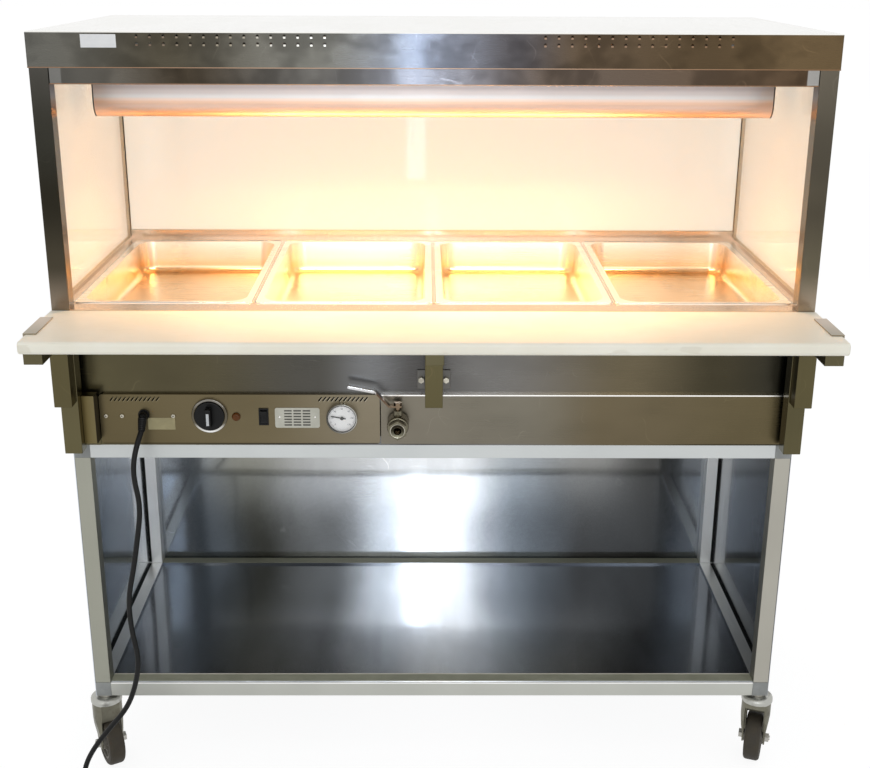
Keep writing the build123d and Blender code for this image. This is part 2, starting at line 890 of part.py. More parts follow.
def make_lower_panel():
    """The right-hand lower front panel, folded back at its top, bored for the drain valve."""
    x0 = control_x1 + panel_seam
    x1 = half_w - sheet - fit
    panel = block(x0, x1, lower_y, lower_y + sheet, panel_low_z, panel_top_z)
    panel += block(x0, x1, lower_y, upper_y, panel_top_z - sheet, panel_top_z)
    return panel - rod_y(valve_inlet_d + 2 * fit, valve_x, lower_y, lower_y + sheet, valve_z)


def louvre_places():
    """The middles of the slanted louvre slots in their two rows."""
    start = -(louvre_count - 1) / 2 * louvre_pitch
    rows = [control_x0 + along + start for along in louvre_alongs]
    return [row + i * louvre_pitch for row in rows for i in range(louvre_count)]


def make_control_panel():
    """The control panel: a folded plate with louvres and an opening for each control."""
    width = control_x1 - control_x0
    height = panel_top_z - panel_low_z
    face = RectangleRounded(width, height, control_round)
    place = Plane(
        origin=((control_x0 + control_x1) / 2, lower_y, (panel_low_z + panel_top_z) / 2),
        x_dir=(1, 0, 0), z_dir=(0, 1, 0))
    panel = extrude(place * face, sheet)
    fold = control_round + sheet
    panel += block(control_x0 + fold, control_x1 - fold, lower_y, upper_y, panel_top_z - sheet, panel_top_z)
    y0, y1 = lower_y, lower_y + sheet
    cuts = [
        rod_y(bush_d + 2 * fit, knob_x, y0, y1, knob_z),
        rod_y(lens_body_d + 2 * fit, lens_x, y0, y1, control_z),
        rod_y(dial_back_d + 2 * fit, dial_x, y0, y1, control_z),
        rod_y(gland_boss_d + 2 * fit, gland_x, y0, y1, base_z + gland_rise),
        Pos(rocker_x, y0 + sheet / 2, control_z) * Box(
            rocker_house_w + 2 * fit, sheet, rocker_house_h + 2 * fit),
    ]
    cuts += [rod_y(screw_shank_d + 2 * fit, x, y0, y1, screw_z) for x in screw_xs]
    slot = Rot(0, louvre_slant, 0) * Box(louvre_w, 3 * sheet, louvre_h)
    cuts += [Pos(x, y0 + sheet / 2, base_z + louvre_rise) * slot for x in louvre_places()]
    return panel - cuts


def make_wiring_cover():
    """A narrow folded cover over the wiring beside the left post."""
    y0 = lower_y - wiring_cover_reach
    z0 = panel_low_z + wiring_cover_lift
    z1 = panel_top_z + wiring_cover_over
    x0, x1 = wiring_cover_x0, wiring_cover_x1
    cover = block(x0, x1, y0, lower_y, z0, z1)
    return cover - block(x0 + sheet, x1 - sheet, y0 + sheet, lower_y, z0 + sheet, z1 - sheet)


# Controls


def make_knob():
    """The thermostat knob: a disc with a grip bar, its pale inlay, and the spindle that it turns."""
    back = lower_y - knob_lift
    disc_y = back - knob_skirt_h
    face_y = disc_y - knob_grip_h
    disc = rod_y(knob_d, knob_x, disc_y, back, knob_z)
    knob = fillet(disc.edges().group_by(Axis.Y)[0], knob_round)
    grip = Box(knob_grip_w, knob_grip_h, knob_grip_l)
    grip = fillet(grip.edges().filter_by(Axis.Y) + grip.edges().group_by(Axis.Y)[0], knob_round)
    knob += Pos(knob_x, disc_y - knob_grip_h / 2, knob_z) * grip
    knob += Pos(knob_x, face_y - pointer_h / 2, knob_z) * Box(pointer_w, pointer_h, pointer_l)
    return knob + rod_y(spindle_d, knob_x, back, back + spindle_length, knob_z)


def make_bezel():
    """The bright ring round the knob."""
    ring = rod_y(bezel_d, knob_x, lower_y - bezel_h, lower_y, knob_z)
    ring = fillet(ring.edges().group_by(Axis.Y)[0], knob_round)
    return ring - rod_y(knob_d + 2 * bezel_gap, knob_x, lower_y - bezel_h, lower_y, knob_z)


def make_thermostat():
    """The thermostat behind the panel, its bush through the panel round the spindle."""
    y0 = lower_y + sheet
    body = rod_y(thermostat_d, knob_x, y0, y0 + thermostat_length, knob_z)
    body += rod_y(bush_d, knob_x, lower_y - knob_lift + 1, y0, knob_z)
    depth = lower_y - knob_lift + spindle_length + fit
    return body - rod_y(spindle_d + 2 * running, knob_x, lower_y - knob_lift, depth, knob_z)


def make_indicator():
    """The indicator lamp: a domed lens on a body through the panel."""
    lens = rod_y(lens_d, lens_x, lower_y - lens_h, lower_y, control_z)
    lens = fillet(lens.edges().group_by(Axis.Y)[0], lens_h * 0.7)
    return lens + rod_y(lens_body_d, lens_x, lower_y, lower_y + lens_body_l, control_z)


def make_rocker_frame():
    """The switch's bezel and housing, open at the front for the rocker."""
    y = lower_y - rocker_frame_t / 2
    frame = Pos(rocker_x, y, control_z) * Box(rocker_frame_w, rocker_frame_t, rocker_frame_h)
    house_y = lower_y + rocker_house_l / 2
    frame += Pos(rocker_x, house_y, control_z) * Box(rocker_house_w, rocker_house_l, rocker_house_h)
    open_l = rocker_frame_t + rocker_thick + rocker_lean_room
    open_y = lower_y - rocker_frame_t + open_l / 2
    frame -= Pos(rocker_x, open_y, control_z) * Box(rocker_w + 2 * fit, open_l, rocker_h + rocker_lean_room)
    x0, x1 = rocker_x - rocker_house_w, rocker_x + rocker_house_w
    pin = rod_x(rocker_pin_d + 2 * running, x0, x1, lower_y + rocker_pin_depth, control_z)
    return frame - pin


def make_rocker():
    """The rocker on its pivot pin, tipped to off."""
    paddle = Pos(0, -rocker_lead, 0) * Box(rocker_w, rocker_thick, rocker_h)
    dish_y = rocker_dish - rocker_lead - rocker_thick / 2 - rocker_dish_r
    paddle -= Pos(0, dish_y, 0) * Rot(0, 90, 0) * Cylinder(rocker_dish_r, rocker_w)
    half_pin = rocker_house_w / 2
    rocker = Rot(rocker_tilt, 0, 0) * paddle + rod_x(rocker_pin_d, -half_pin, half_pin, 0, 0)
    return Pos(rocker_x, lower_y + rocker_pin_depth, control_z) * rocker


def make_dial_case():
    """The thermometer's case, with its dial plate sunk behind the rim."""
    front = lower_y - dial_proud
    case = rod_y(dial_d, dial_x, front, lower_y, control_z)
    case = fillet(case.edges().group_by(Axis.Y)[0], dial_rim * 0.6)
    case -= rod_y(dial_d - 2 * dial_rim, dial_x, front, front + dial_plate_depth, control_z)
    case += rod_y(dial_back_d, dial_x, lower_y, lower_y + dial_back_l, control_z)
    pin_end = front + dial_plate_depth + needle_pin_l + fit
    return case - rod_y(needle_pin_d + 2 * running, dial_x, front + dial_plate_depth, pin_end, control_z)


def make_needle():
    """The needle on its pin, pointing left and a little up."""
    plate = lower_y - dial_proud + dial_plate_depth
    needle_y = plate - 2.0
    middle = (needle_tail - needle_length) / 2
    bar = Pos(middle, 0, 0) * Box(needle_length + needle_tail, needle_t, needle_w)
    bar = Rot(0, needle_rest, 0) * bar
    hub = rod_y(needle_hub_d, 0, -needle_t, needle_t, 0)
    pin = rod_y(needle_pin_d, 0, 0, 2.0 + needle_pin_l, 0)
    return Pos(dial_x, needle_y, control_z) * (bar + hub + pin)


def make_dial_glass():
    """The thermometer's window, set just inside the rim."""
    front = lower_y - dial_proud + 1.0
    return rod_y(dial_d - 2 * dial_rim - 2 * running, dial_x, front, front + dial_glass, control_z)


def sleeve_axis():
    """Where the gland's sleeve starts, and its way: out and down."""
    z = base_z + gland_rise
    start = Vector(gland_x, lower_y - gland_flange_h - gland_boss_l, z)
    drop = math.radians(gland_sleeve_drop)
    return start, Vector(0, -math.cos(drop), -math.sin(drop))


def make_gland():
    """The cable gland: a flange on the panel and a tapered sleeve that lets the lead down."""
    start, way = sleeve_axis()
    z = base_z + gland_rise
    gland = rod_y(gland_flange_d, gland_x, lower_y - gland_flange_h, lower_y, z)
    gland += rod_y(gland_boss_d, gland_x, start.Y, lower_y + gland_tail, z)
    gland += Pos(start) * Sphere(gland_boss_d / 2)
    root = Plane(origin=start, z_dir=way) * Circle(gland_boss_d / 2)
    tip = Plane(origin=start + way * gland_sleeve_l, z_dir=way) * Circle(gland_tip_d / 2)
    return gland + loft([root, tip])


def make_screws():
    """Panel screws, and the rivets of the stand's panels."""
    solids = []
    for x in screw_xs:
        head = rod_y(screw_head_d, x, lower_y - screw_head_h, lower_y, screw_z)
        head = fillet(head.edges().group_by(Axis.Y)[0], screw_head_h * 0.6)
        solids.append(head + rod_y(screw_shank_d, x, lower_y, lower_y + screw_shank_l, screw_z))
    solids += [make_rivet(at, inward) for at, inward in rivet_places()]
    face = upper_y - foot_plate_t
    for sx in (-1, 1):
        x = sx * foot_bolt_x
        head = Plane(origin=(x, face, foot_bolt_z()), z_dir=(0, -1, 0)) * hex_bar(foot_bolt_af, foot_bolt_h)
        solids.append(head + rod_y(foot_bolt_d, x, face, face + foot_bolt_l, foot_bolt_z()))
    return solids


# Drain


def make_drain_pipe():
    """The pipe from the tank's floor, bent forward to the valve."""
    y = post_y + drain_setback
    end_y = lower_y + sheet + 8.0
    top, elbow, end = (y, tank_z - sheet), (y, valve_z), (end_y, valve_z)
    route = FilletPolyline(*[(valve_x, *place) for place in (top, elbow, end)], radius=drain_bend)
    start = Plane(origin=(valve_x, y, tank_z - sheet), z_dir=(0, 0, -1))
    pipe = sweep(start * Circle(drain_pipe_d / 2), path=route)
    return pipe - sweep(start * Circle(drain_pipe_d / 2 - drain_pipe_wall), path=route)


def make_valve_body():
    """The ball valve: inlet collar, barrel, outlet end and the boss for the stem."""
    inlet_y = lower_y + sheet + 8.0
    outlet_y = post_y - valve_reach
    body = rod_y(valve_inlet_d, valve_x, valve_stem_y, inlet_y, valve_z)
    barrel_half = valve_barrel_d / 2 - 1.5
    barrel_y0, barrel_y1 = valve_stem_y - barrel_half, valve_stem_y + barrel_half - barrel_short
    barrel = rod_y(valve_barrel_d, valve_x, barrel_y0, barrel_y1, valve_z)
    body += fillet(barrel.edges().filter_by(GeomType.CIRCLE), 4)
    neck = rod_y(valve_end_d - 5, valve_x, outlet_y, valve_stem_y, valve_z)
    end = Plane(origin=(valve_x, outlet_y, valve_z), z_dir=(0, 1, 0)) * hex_bar(valve_end_d, valve_end_l)
    body += neck + end
    boss_z = valve_z + valve_barrel_d / 2 + valve_boss_h
    body += rod_z(valve_boss_d, valve_x, valve_stem_y, valve_z, boss_z)
    body -= rod_y(valve_bore, valve_x, outlet_y, inlet_y, valve_z)
    body -= Pos(valve_x, valve_stem_y, valve_z) * Sphere(ball_d / 2 + ball_gap)
    seat = ball_d / 2 + seat_gap
    body -= rod_y(seat_d, valve_x, valve_stem_y - seat, valve_stem_y + seat, valve_z)
    return body - rod_z(valve_stem_d + 2 * running, valve_x, valve_stem_y, valve_z, boss_z)


def make_valve_ball():
    """The drilled ball, shut, with the stem that turns it and the nut on top."""
    ball = Sphere(ball_d / 2) - rod_x(valve_bore, -ball_d, ball_d, 0, 0)
    ball += rod_z(valve_stem_d, 0, 0, ball_d / 2 - 3, valve_stem_top)
    ball += Pos(0, 0, valve_stem_top - valve_nut_h) * hex_bar(valve_nut_af, valve_nut_h)
    return Pos(valve_x, valve_stem_y, valve_z) * ball


def make_lever():
    """The cranked lever, clamped under the nut and pointing across the flow."""
    root_z1 = valve_z + valve_stem_top - valve_nut_h
    root_z0 = root_z1 - lever_t
    middle_z = root_z0 + lever_t / 2
    slope_end = (-lever_slope_x, middle_z + lever_slope_z - lever_t / 2)
    grip_end = (-lever_grip_x, middle_z + lever_grip_z - lever_t / 2)
    line = Polyline((lever_w / 2, middle_z), (-lever_flat, middle_z), slope_end, grip_end)
    blade = extrude(Plane.XZ * offset_trace(line, lever_t), lever_w / 2, both=True)
    grip_line = Polyline(slope_end, grip_end)
    grip = extrude(Plane.XZ * offset_trace(grip_line, lever_grip_t), lever_grip_w / 2, both=True)
    grip = fillet(grip.edges(), 2.0)
    lever = blade + grip - rod_z(valve_stem_d + 2 * running, 0, 0, root_z0, root_z1)
    return Pos(valve_x, valve_stem_y, 0) * lever


def offset_trace(line, width):
    """A flat strip of a width along a bent line."""
    return trace(line, line_width=width)


# Cutting board


def foot_bolt_z():
    """The height of the middle bracket's two bolts."""
    return base_z + standoff_low + standoff_h / 2


def make_board():
    """The polyethylene cutting board, its long edges rounded."""
    x1 = board_x - fit
    board = block(-x1, x1, post_y - board_reach, post_y - board_gap, board_low_z, board_top_z)
    front = board.edges().filter_by(Axis.X).group_by(Axis.Y)[0]
    board = fillet(front, board_round)
    return fillet(board.edges().filter_by(Axis.Z), 3)


def make_bracket(x):
    """A square tube bracket: a leg down the post and an arm out under the board."""
    w = bracket_w / 2
    wall = bracket_wall
    leg_z0 = base_z + bracket_low
    y0, y1 = post_y - bracket_deep, post_y
    arm_z0 = board_low_z - arm_height
    arm_y = post_y - arm_reach
    bracket = block(x - w, x + w, y0, y1, leg_z0, board_low_z)
    bracket += block(x - w, x + w, arm_y, y0, arm_z0, board_low_z)
    bracket -= block(x - w + wall, x + w - wall, y0 + wall, y1 - wall, leg_z0, board_low_z - wall)
    bracket -= block(x - w + wall, x + w - wall, arm_y + wall, y0 + wall, arm_z0 + wall, board_low_z - wall)
    return bracket


def make_brackets():
    """The outer brackets on the posts and the middle one on its stand-off."""
    outer_x = board_x - bracket_w / 2
    middle = make_bracket(0)
    z0 = base_z + standoff_low
    w = bracket_w / 2
    plate_y = upper_y - foot_plate_t
    plate_z = foot_bolt_z()
    standoff = block(-w, w, post_y, plate_y, z0, z0 + standoff_h)
    wall = bracket_wall
    standoff -= block(-w + wall, w - wall, post_y, plate_y, z0 + wall, z0 + standoff_h - wall)
    plate = Pos(0, plate_y + foot_plate_t / 2, plate_z) * Box(foot_plate_w, foot_plate_t, foot_plate_h)
    for sx in (-1, 1):
        plate -= rod_y(foot_bolt_d + 2 * fit, sx * foot_bolt_x, plate_y, plate_y + foot_plate_t, plate_z)
    return [make_bracket(-outer_x), middle + standoff + plate, make_bracket(outer_x)]


def make_clips():
    """End clips on the outer arms, hooked over the board's ends."""
    clips = []
    y0, y1 = post_y - clip_from, post_y - clip_to
    z0 = board_low_z - arm_height
    z1 = board_top_z + fit
    for sx in (-1, 1):
        x0, x1 = sorted((sx * board_x, sx * (board_x + clip_t)))
        clip = block(x0, x1, y0, y1, z0, z1 + clip_t)
        x0, x1 = sorted((sx * (board_x - clip_w), sx * (board_x + clip_t)))
        clip += block(x0, x1, y0, y1, z1, z1 + clip_t)
        clips.append(clip)
    return clips


# Lead


def coil_origin():
    """The middle of the coil on the floor, at its lower layer."""
    low = cord_d / 2 + tie_gap + tie_t + fit
    return Vector(gland_x - coil_aside, post_y + coil_y, low)


def coil_path():
    """The coil's middle line: half turns that spiral in, climb a layer and spiral out again."""
    steps = [k * coil_pitch / 2 for k in range(coil_half_turns)]
    radii = [coil_radius - coil_pitch / 4 - s for s in steps]
    climb = coil_radius - coil_pitch / 4 - coil_half_turns * coil_pitch / 2
    middle = coil_origin()
    x, z, side = -coil_radius, 0.0, -1
    start = middle + Vector(x, 0, 0)
    edges = [Line(start + Vector(0, cord_d, 0), start)]
    for radius in radii + [climb] + radii[::-1]:
        far_x = x - side * 2 * radius
        centre = middle + Vector((x + far_x) / 2, 0, z)
        first = middle + Vector(x, 0, z)
        if radius == climb:
            reach = math.hypot(radius, coil_pitch / 2)
            top = centre + Vector(0, side * reach, coil_pitch / 2)
            last = middle + Vector(far_x, 0, z + coil_pitch)
            lean = Vector(-side * radius, 0, coil_pitch / 2)
            edges.append(TangentArc(first, top, tangent=Vector(0, side, 0)))
            edges.append(TangentArc(top, last, tangent=lean))
            z += coil_pitch
        else:
            top = centre + Vector(0, side * radius, 0)
            last = middle + Vector(far_x, 0, z)
            edges.append(ThreePointArc(first, top, last))
        x, side = far_x, -side
    end = middle + Vector(x, 0, z)
    edges.append(Line(end, end + Vector(0, side * cord_d, 0)))
    return edges


def least_gap(edges):
    """The least gap between the coil's turns, measured on points along its middle line."""
    points = []
    along = 0.0
    for edge_line in edges:
        count = max(2, int(edge_line.length / 2))
        for i in range(count):
            points.append((along + edge_line.length * i / count, edge_line.position_at(i / count)))
        along += edge_line.length
    apart = [
        (p - q).length for i, (s, p) in enumerate(points) for t, q in points[i + 1:] if t - s > 4 * cord_d
    ]
    return min(apart) - cord_d


def make_coil():
    """The put-away length of the lead, wound in two layers."""
    edges = coil_path()
    print("coil length", round(sum(e.length for e in edges), 1), "least gap", round(least_gap(edges), 2))
    start = edges[0].position_at(0)
    section = Plane(origin=start, z_dir=edges[0].tangent_at(0)) * Circle(cord_d / 2)
    return sweep(section, path=Wire([e.edge() for e in edges]))


def make_stretch():
    """The free stretch of the lead from the gland to the coil."""
    start, way = sleeve_axis()
    tip = start + way * gland_sleeve_l
    points = [tip, tip + way * cord_lead]
    points += [Vector(gland_x - aside, post_y + y, z) for aside, y, z in cord_route]
    points.append(coil_origin() + Vector(-coil_radius, cord_d, 0))
    radii = []
    for before, at, after in zip(points, points[1:], points[2:]):
        turn = math.radians((at - before).get_angle(after - at))
        run = min((at - before).length, (after - at).length)
        radii.append(0.45 * run / math.tan(turn / 2))
    path = FilletPolyline(*points, radius=radii)
    section = Plane(origin=points[0], z_dir=points[1] - points[0]) * Circle(cord_d / 2)
    cord = sweep(section, path=path)
    print("stretch length", round(path.length, 1), "radii", [round(r) for r in radii])
    print("stretch volume ratio", round(cord.volume / (math.pi * cord_d ** 2 / 4 * path.length), 4))
    return cord


def make_tie():
    """The strap round the coil's front bundle."""
    middle = coil_origin()
    half_turn = coil_radius - coil_pitch / 4
    y0 = half_turn - coil_pitch - cord_d / 2 - tie_gap - tie_sag
    y1 = half_turn + cord_d / 2 + tie_gap
    z0 = -cord_d / 2 - tie_gap
    z1 = coil_pitch + cord_d / 2 + tie_gap
    inner = block(-tie_w / 2, tie_w / 2, -y1, -y0, z0, z1)
    outer = block(-tie_w / 2, tie_w / 2, -y1 - tie_t, -y0 + tie_t, z0 - tie_t, z1 + tie_t)
    return Pos(middle + Vector(coil_pitch / 4, 0, 0)) * (outer - inner)


def make_plug():
    """A plain three-pin plug lying beside the coil, its neck on the lead's end."""
    end = coil_path()[-1].position_at(1)
    body_y = end.Y + plug_neck_l
    body = Pos(end.X, body_y + plug_l / 2, end.Z) * Box(plug_w, plug_l, plug_t)
    body = fillet(body.edges().filter_by(Axis.Y), plug_round)
    body = fillet(body.edges().group_by(Axis.Y)[0], plug_round * 0.6)
    root = Plane(origin=(end.X, body_y + plug_round, end.Z), z_dir=(0, 1, 0)) * Circle(plug_neck_d / 2)
    mouth = Plane(origin=end, z_dir=(0, 1, 0)) * Circle(plug_neck_tip_d / 2)
    plug = body + loft([mouth, root])
    tip = body_y + plug_l
    places = [(-pin_spread, 4.0, 30.0), (pin_spread, 4.0, -30.0), (0.0, -6.0, 0.0)]
    for x, z, lean in places:
        pin = Pos(end.X + x, tip + pin_l / 2, end.Z + z) * Rot(0, lean, 0) * Box(pin_t, pin_l, pin_w)
        plug += pin
    return plug


def main():
    """Build every node and write its file."""
    os.makedirs("parts", exist_ok=True)
    holes = rivet_holes()
    write("stand_legs", *make_legs(holes))
    write("stand_rails", *make_rails())
    write("corner_connectors", *make_connectors())
    write("stand_shelf", make_shelf())
    write("stand_back_panel", make_back_panel(holes))
    write("stand_side_panels", *make_side_panels(holes))
    names = {(-1, 0): "front_left", (1, 0): "front_right", (-1, 1): "rear_left", (1, 1): "rear_right"}
    places = {corner: (corner[0] * leg_x, leg_ys[corner[1]]) for corner in corners()}
    write("caster_stems", *[make_stem(*at) for at in places.values()])
    turns = {(-1, 0): front_left_turn, (1, 0): front_right_turn}
    for corner, at in places.items():
        seat = Pos(*at, 0) * Rot(0, 0, turns.get(corner, 0.0))
        write(f"caster_fork_{names[corner]}", seat * make_fork())
        write(f"caster_axle_{names[corner]}", seat * make_axle())
        write(f"caster_wheel_{names[corner]}", *[seat * form for form in make_wheel()])
    write("posts", *make_posts())
    write("canopy_cover", make_cover())
    write("canopy_frame", *make_canopy_frame())
    write("glass_panes", *make_glass_panes())
    write("glass_sills", *make_sills())
    write("lamp_housing", make_lamp_housing())
    write("lamp_end_caps", *make_lamp_caps())
    write("quartz_tubes", *make_quartz_tubes())
    write("well_tank", make_tank())
    for i in range(pan_count):
        write(f"pan_{i + 1}", make_pan(i))
    write("pan_bars", *make_pan_bars())
    write("heating_element", make_element())
    write("body_shell", make_body_shell())
    write("lower_front_panel", make_lower_panel())
    write("control_panel", make_control_panel())
    write("wiring_cover", make_wiring_cover())
    write("thermostat_knob", make_knob())
    write("knob_bezel", make_bezel())
    write("thermostat", make_thermostat())
    write("indicator_lamp", make_indicator())
    write("rocker_frame", make_rocker_frame())
    write("rocker", make_rocker())
    write("thermometer_case", make_dial_case())
    write("thermometer_needle", make_needle())
    write("thermometer_glass", make_dial_glass())
    write("cable_gland", make_gland())
    write("panel_screws", *make_screws())
    write("drain_pipe", make_drain_pipe())
    write("valve_body", make_valve_body())
    write("valve_ball", make_valve_ball())
    write("valve_lever", make_lever())
    write("cutting_board", make_board())
    write("board_brackets", *make_brackets())
    write("board_clips", *make_clips())
    write("cord_stretch", make_stretch())
    write("cord_coil", make_coil())
    write("cord_tie", make_tie())
    write("plug", make_plug())


if __name__ == "__main__":
    main()
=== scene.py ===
"""Looks of the hot food bar: finishes, small fittings, lead, camera and light over its frame."""

from __future__ import annotations

import logging
import math
from dataclasses import dataclass
from enum import Enum, IntEnum
from typing import Callable, ClassVar, Protocol, Sequence

import bmesh
import bpy
from mathutils import Matrix, Vector

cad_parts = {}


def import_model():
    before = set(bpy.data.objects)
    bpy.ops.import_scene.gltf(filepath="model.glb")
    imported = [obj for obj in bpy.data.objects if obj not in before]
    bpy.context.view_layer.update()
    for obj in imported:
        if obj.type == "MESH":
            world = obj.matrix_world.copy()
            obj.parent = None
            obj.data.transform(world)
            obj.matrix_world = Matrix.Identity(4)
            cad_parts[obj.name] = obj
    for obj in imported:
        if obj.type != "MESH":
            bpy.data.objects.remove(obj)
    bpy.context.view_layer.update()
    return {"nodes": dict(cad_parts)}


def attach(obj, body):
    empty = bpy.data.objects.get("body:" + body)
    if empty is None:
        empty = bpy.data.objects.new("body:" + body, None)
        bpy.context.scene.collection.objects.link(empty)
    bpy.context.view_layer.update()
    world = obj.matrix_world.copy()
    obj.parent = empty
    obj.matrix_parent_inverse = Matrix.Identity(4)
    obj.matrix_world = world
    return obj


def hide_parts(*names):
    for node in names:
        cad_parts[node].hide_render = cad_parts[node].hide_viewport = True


LOG = logging.getLogger("food_bar")
BAR = "bar"
CORNERS = ("front_left", "front_right", "rear_left", "rear_right")
SIDES = ((-1, "left"), (1, "right"))
MM = 0.001
POST_Y = -0.2305  # front face of the posts
LOWER_Y = POST_Y + 0.045  # front face of the lower panels
CONTROL_X = -0.620  # left edge of the control panel
CONTROL_Z = 0.762  # height of the dial's middle
GLAND = (-0.538, LOWER_Y - 0.012, 0.766)  # where the gland's sleeve starts
GLAND_DROP = 50.0  # how far the sleeve points down, in degrees
FORWARD = Vector((0, -1, 0))
CORNER_STEPS = 6  # steps round a plate's corner
MIDDLE = 0.5  # middle of a noise
SMOOTH = 35.0  # edges flatter than this many degrees look smooth
ROUND_SMOOTH = 60.0  # the same for small round forms
Colour = tuple[float, float, float]
WHITE: Colour = (1.0, 1.0, 1.0)
Tone = tuple[int, int, int]
Profile = Sequence[tuple[float, float]]
Places = Sequence[Sequence[float]]


class Axis(IntEnum):
    """An axis of the frame."""

    X = 0
    Y = 1
    Z = 2


X, Y, Z = Axis


class Way(Enum):
    """The way that a sheet was brushed or a tube was drawn: grains per metre along X, Y and Z."""

    ACROSS = (4.0, 900.0, 900.0)
    DEEP = (900.0, 4.0, 900.0)
    UPRIGHT = (900.0, 900.0, 4.0)


def shade(tone: Sequence[int]) -> Colour:
    """Linear light of a tone that has its red, green and blue from 0 to 255."""
    parts = (part / 255 for part in tone)
    return tuple(c / 12.92 if c <= 0.04045 else ((c + 0.055) / 1.055) ** 2.4 for c in parts)


def down_and_out(degrees: float) -> Vector:
    """The way to the front that points down by an angle."""
    a = math.radians(degrees)
    return Vector((0, -math.cos(a), -math.sin(a)))


def row(middle: float, count: int, pitch: float) -> list[float]:
    """Places of so many pieces at one pitch about a middle."""
    return [middle + (i - (count - 1) / 2) * pitch for i in range(count)]


def joined(how: str, swapped: bool = False) -> Callable[[Sig, Sig | float], Sig]:
    """A method that joins two values by one Math node.

    Args:
        how: The node's operation.
        swapped: Whether the other value comes first.

    Returns:
        The method.
    """

    def method(self: Sig, other: Sig | float) -> Sig:
        """One Math node on both values."""
        pair = (other, self) if swapped else (self, other)
        return self.graph.add("ShaderNodeMath", {"operation": how}, dict(enumerate(pair)))

    return method


class Sig:
    """A socket that takes part in sums written in Python."""

    __add__ = joined("ADD")
    __radd__ = joined("ADD", True)
    __sub__ = joined("SUBTRACT")
    __rsub__ = joined("SUBTRACT", True)
    __mul__ = joined("MULTIPLY")
    __rmul__ = joined("MULTIPLY", True)
    larger = joined("MAXIMUM")

    def __init__(self, graph: Graph, socket: bpy.types.NodeSocket | None) -> None:
        """Wrap a socket of a graph."""
        self.graph = graph
        self.socket = socket

    def other(self, name: str) -> Sig:
        """Another output of the same node."""
        return Sig(self.graph, self.socket.node.outputs[name])

    def step(self, low: float, high: float) -> Sig:
        """A soft step from 0 at low to 1 at high."""
        soft = {"interpolation_type": "SMOOTHSTEP"}
        return self.graph.add("ShaderNodeMapRange", soft, {0: self, 1: low, 2: high})


class Graph:
    """A node tree whose nodes all come from one method."""

    def __init__(self, tree: bpy.types.NodeTree) -> None:
        """Keep the tree's nodes and links."""
        self.nodes, self.links = tree.nodes, tree.links

    def add(self, kind: str, settings: dict | None = None, sockets: dict | None = None,
            out: int | str = 0) -> Sig:
        """Add a node, set it up, then fill or link its sockets.

        Args:
            kind: The node's type.
            settings: Properties of the node; "stops" fills a colour ramp.
            sockets: Values, signals or lists of signals by socket name or number.
            out: The output that is wanted.

        Returns:
            That output, which wraps nothing where the node has none.
        """
        node = self.nodes.new(kind)
        for key, value in (settings or {}).items():
            if key == "stops":
                self.fill(node.color_ramp, value)
            else:
                setattr(node, key, value)
        for key, value in (sockets or {}).items():
            for item in value if isinstance(value, list) else [value]:
                self.feed(node.inputs[key], item)
        return Sig(self, node.outputs[out] if len(node.outputs) else None)

    @staticmethod
    def fill(ramp: bpy.types.ColorRamp, stops: Sequence[tuple[float, Colour]]) -> None:
        """Fill a colour ramp.

        Args:
            ramp: The ramp.
            stops: Places from 0 to 1 with their colours.
        """
        ramp.interpolation = "EASE"
        while len(ramp.elements) < len(stops):
            ramp.elements.new(1.0)
        for element, (place, colour) in zip(ramp.elements, stops):
            element.position = place
            element.color = (*colour, 1.0)

    def feed(self, socket: bpy.types.NodeSocket, value: object) -> None:
        """Link a signal to a socket, or set the socket's own value.

        Args:
            socket: The socket.
            value: The signal or the value.
        """
        if isinstance(value, Sig):
            self.links.new(value.socket, socket)
        elif isinstance(value, tuple) and len(value) == 3 and socket.type == "RGBA":
            socket.default_value = (*value, 1.0)
        else:
            socket.default_value = value


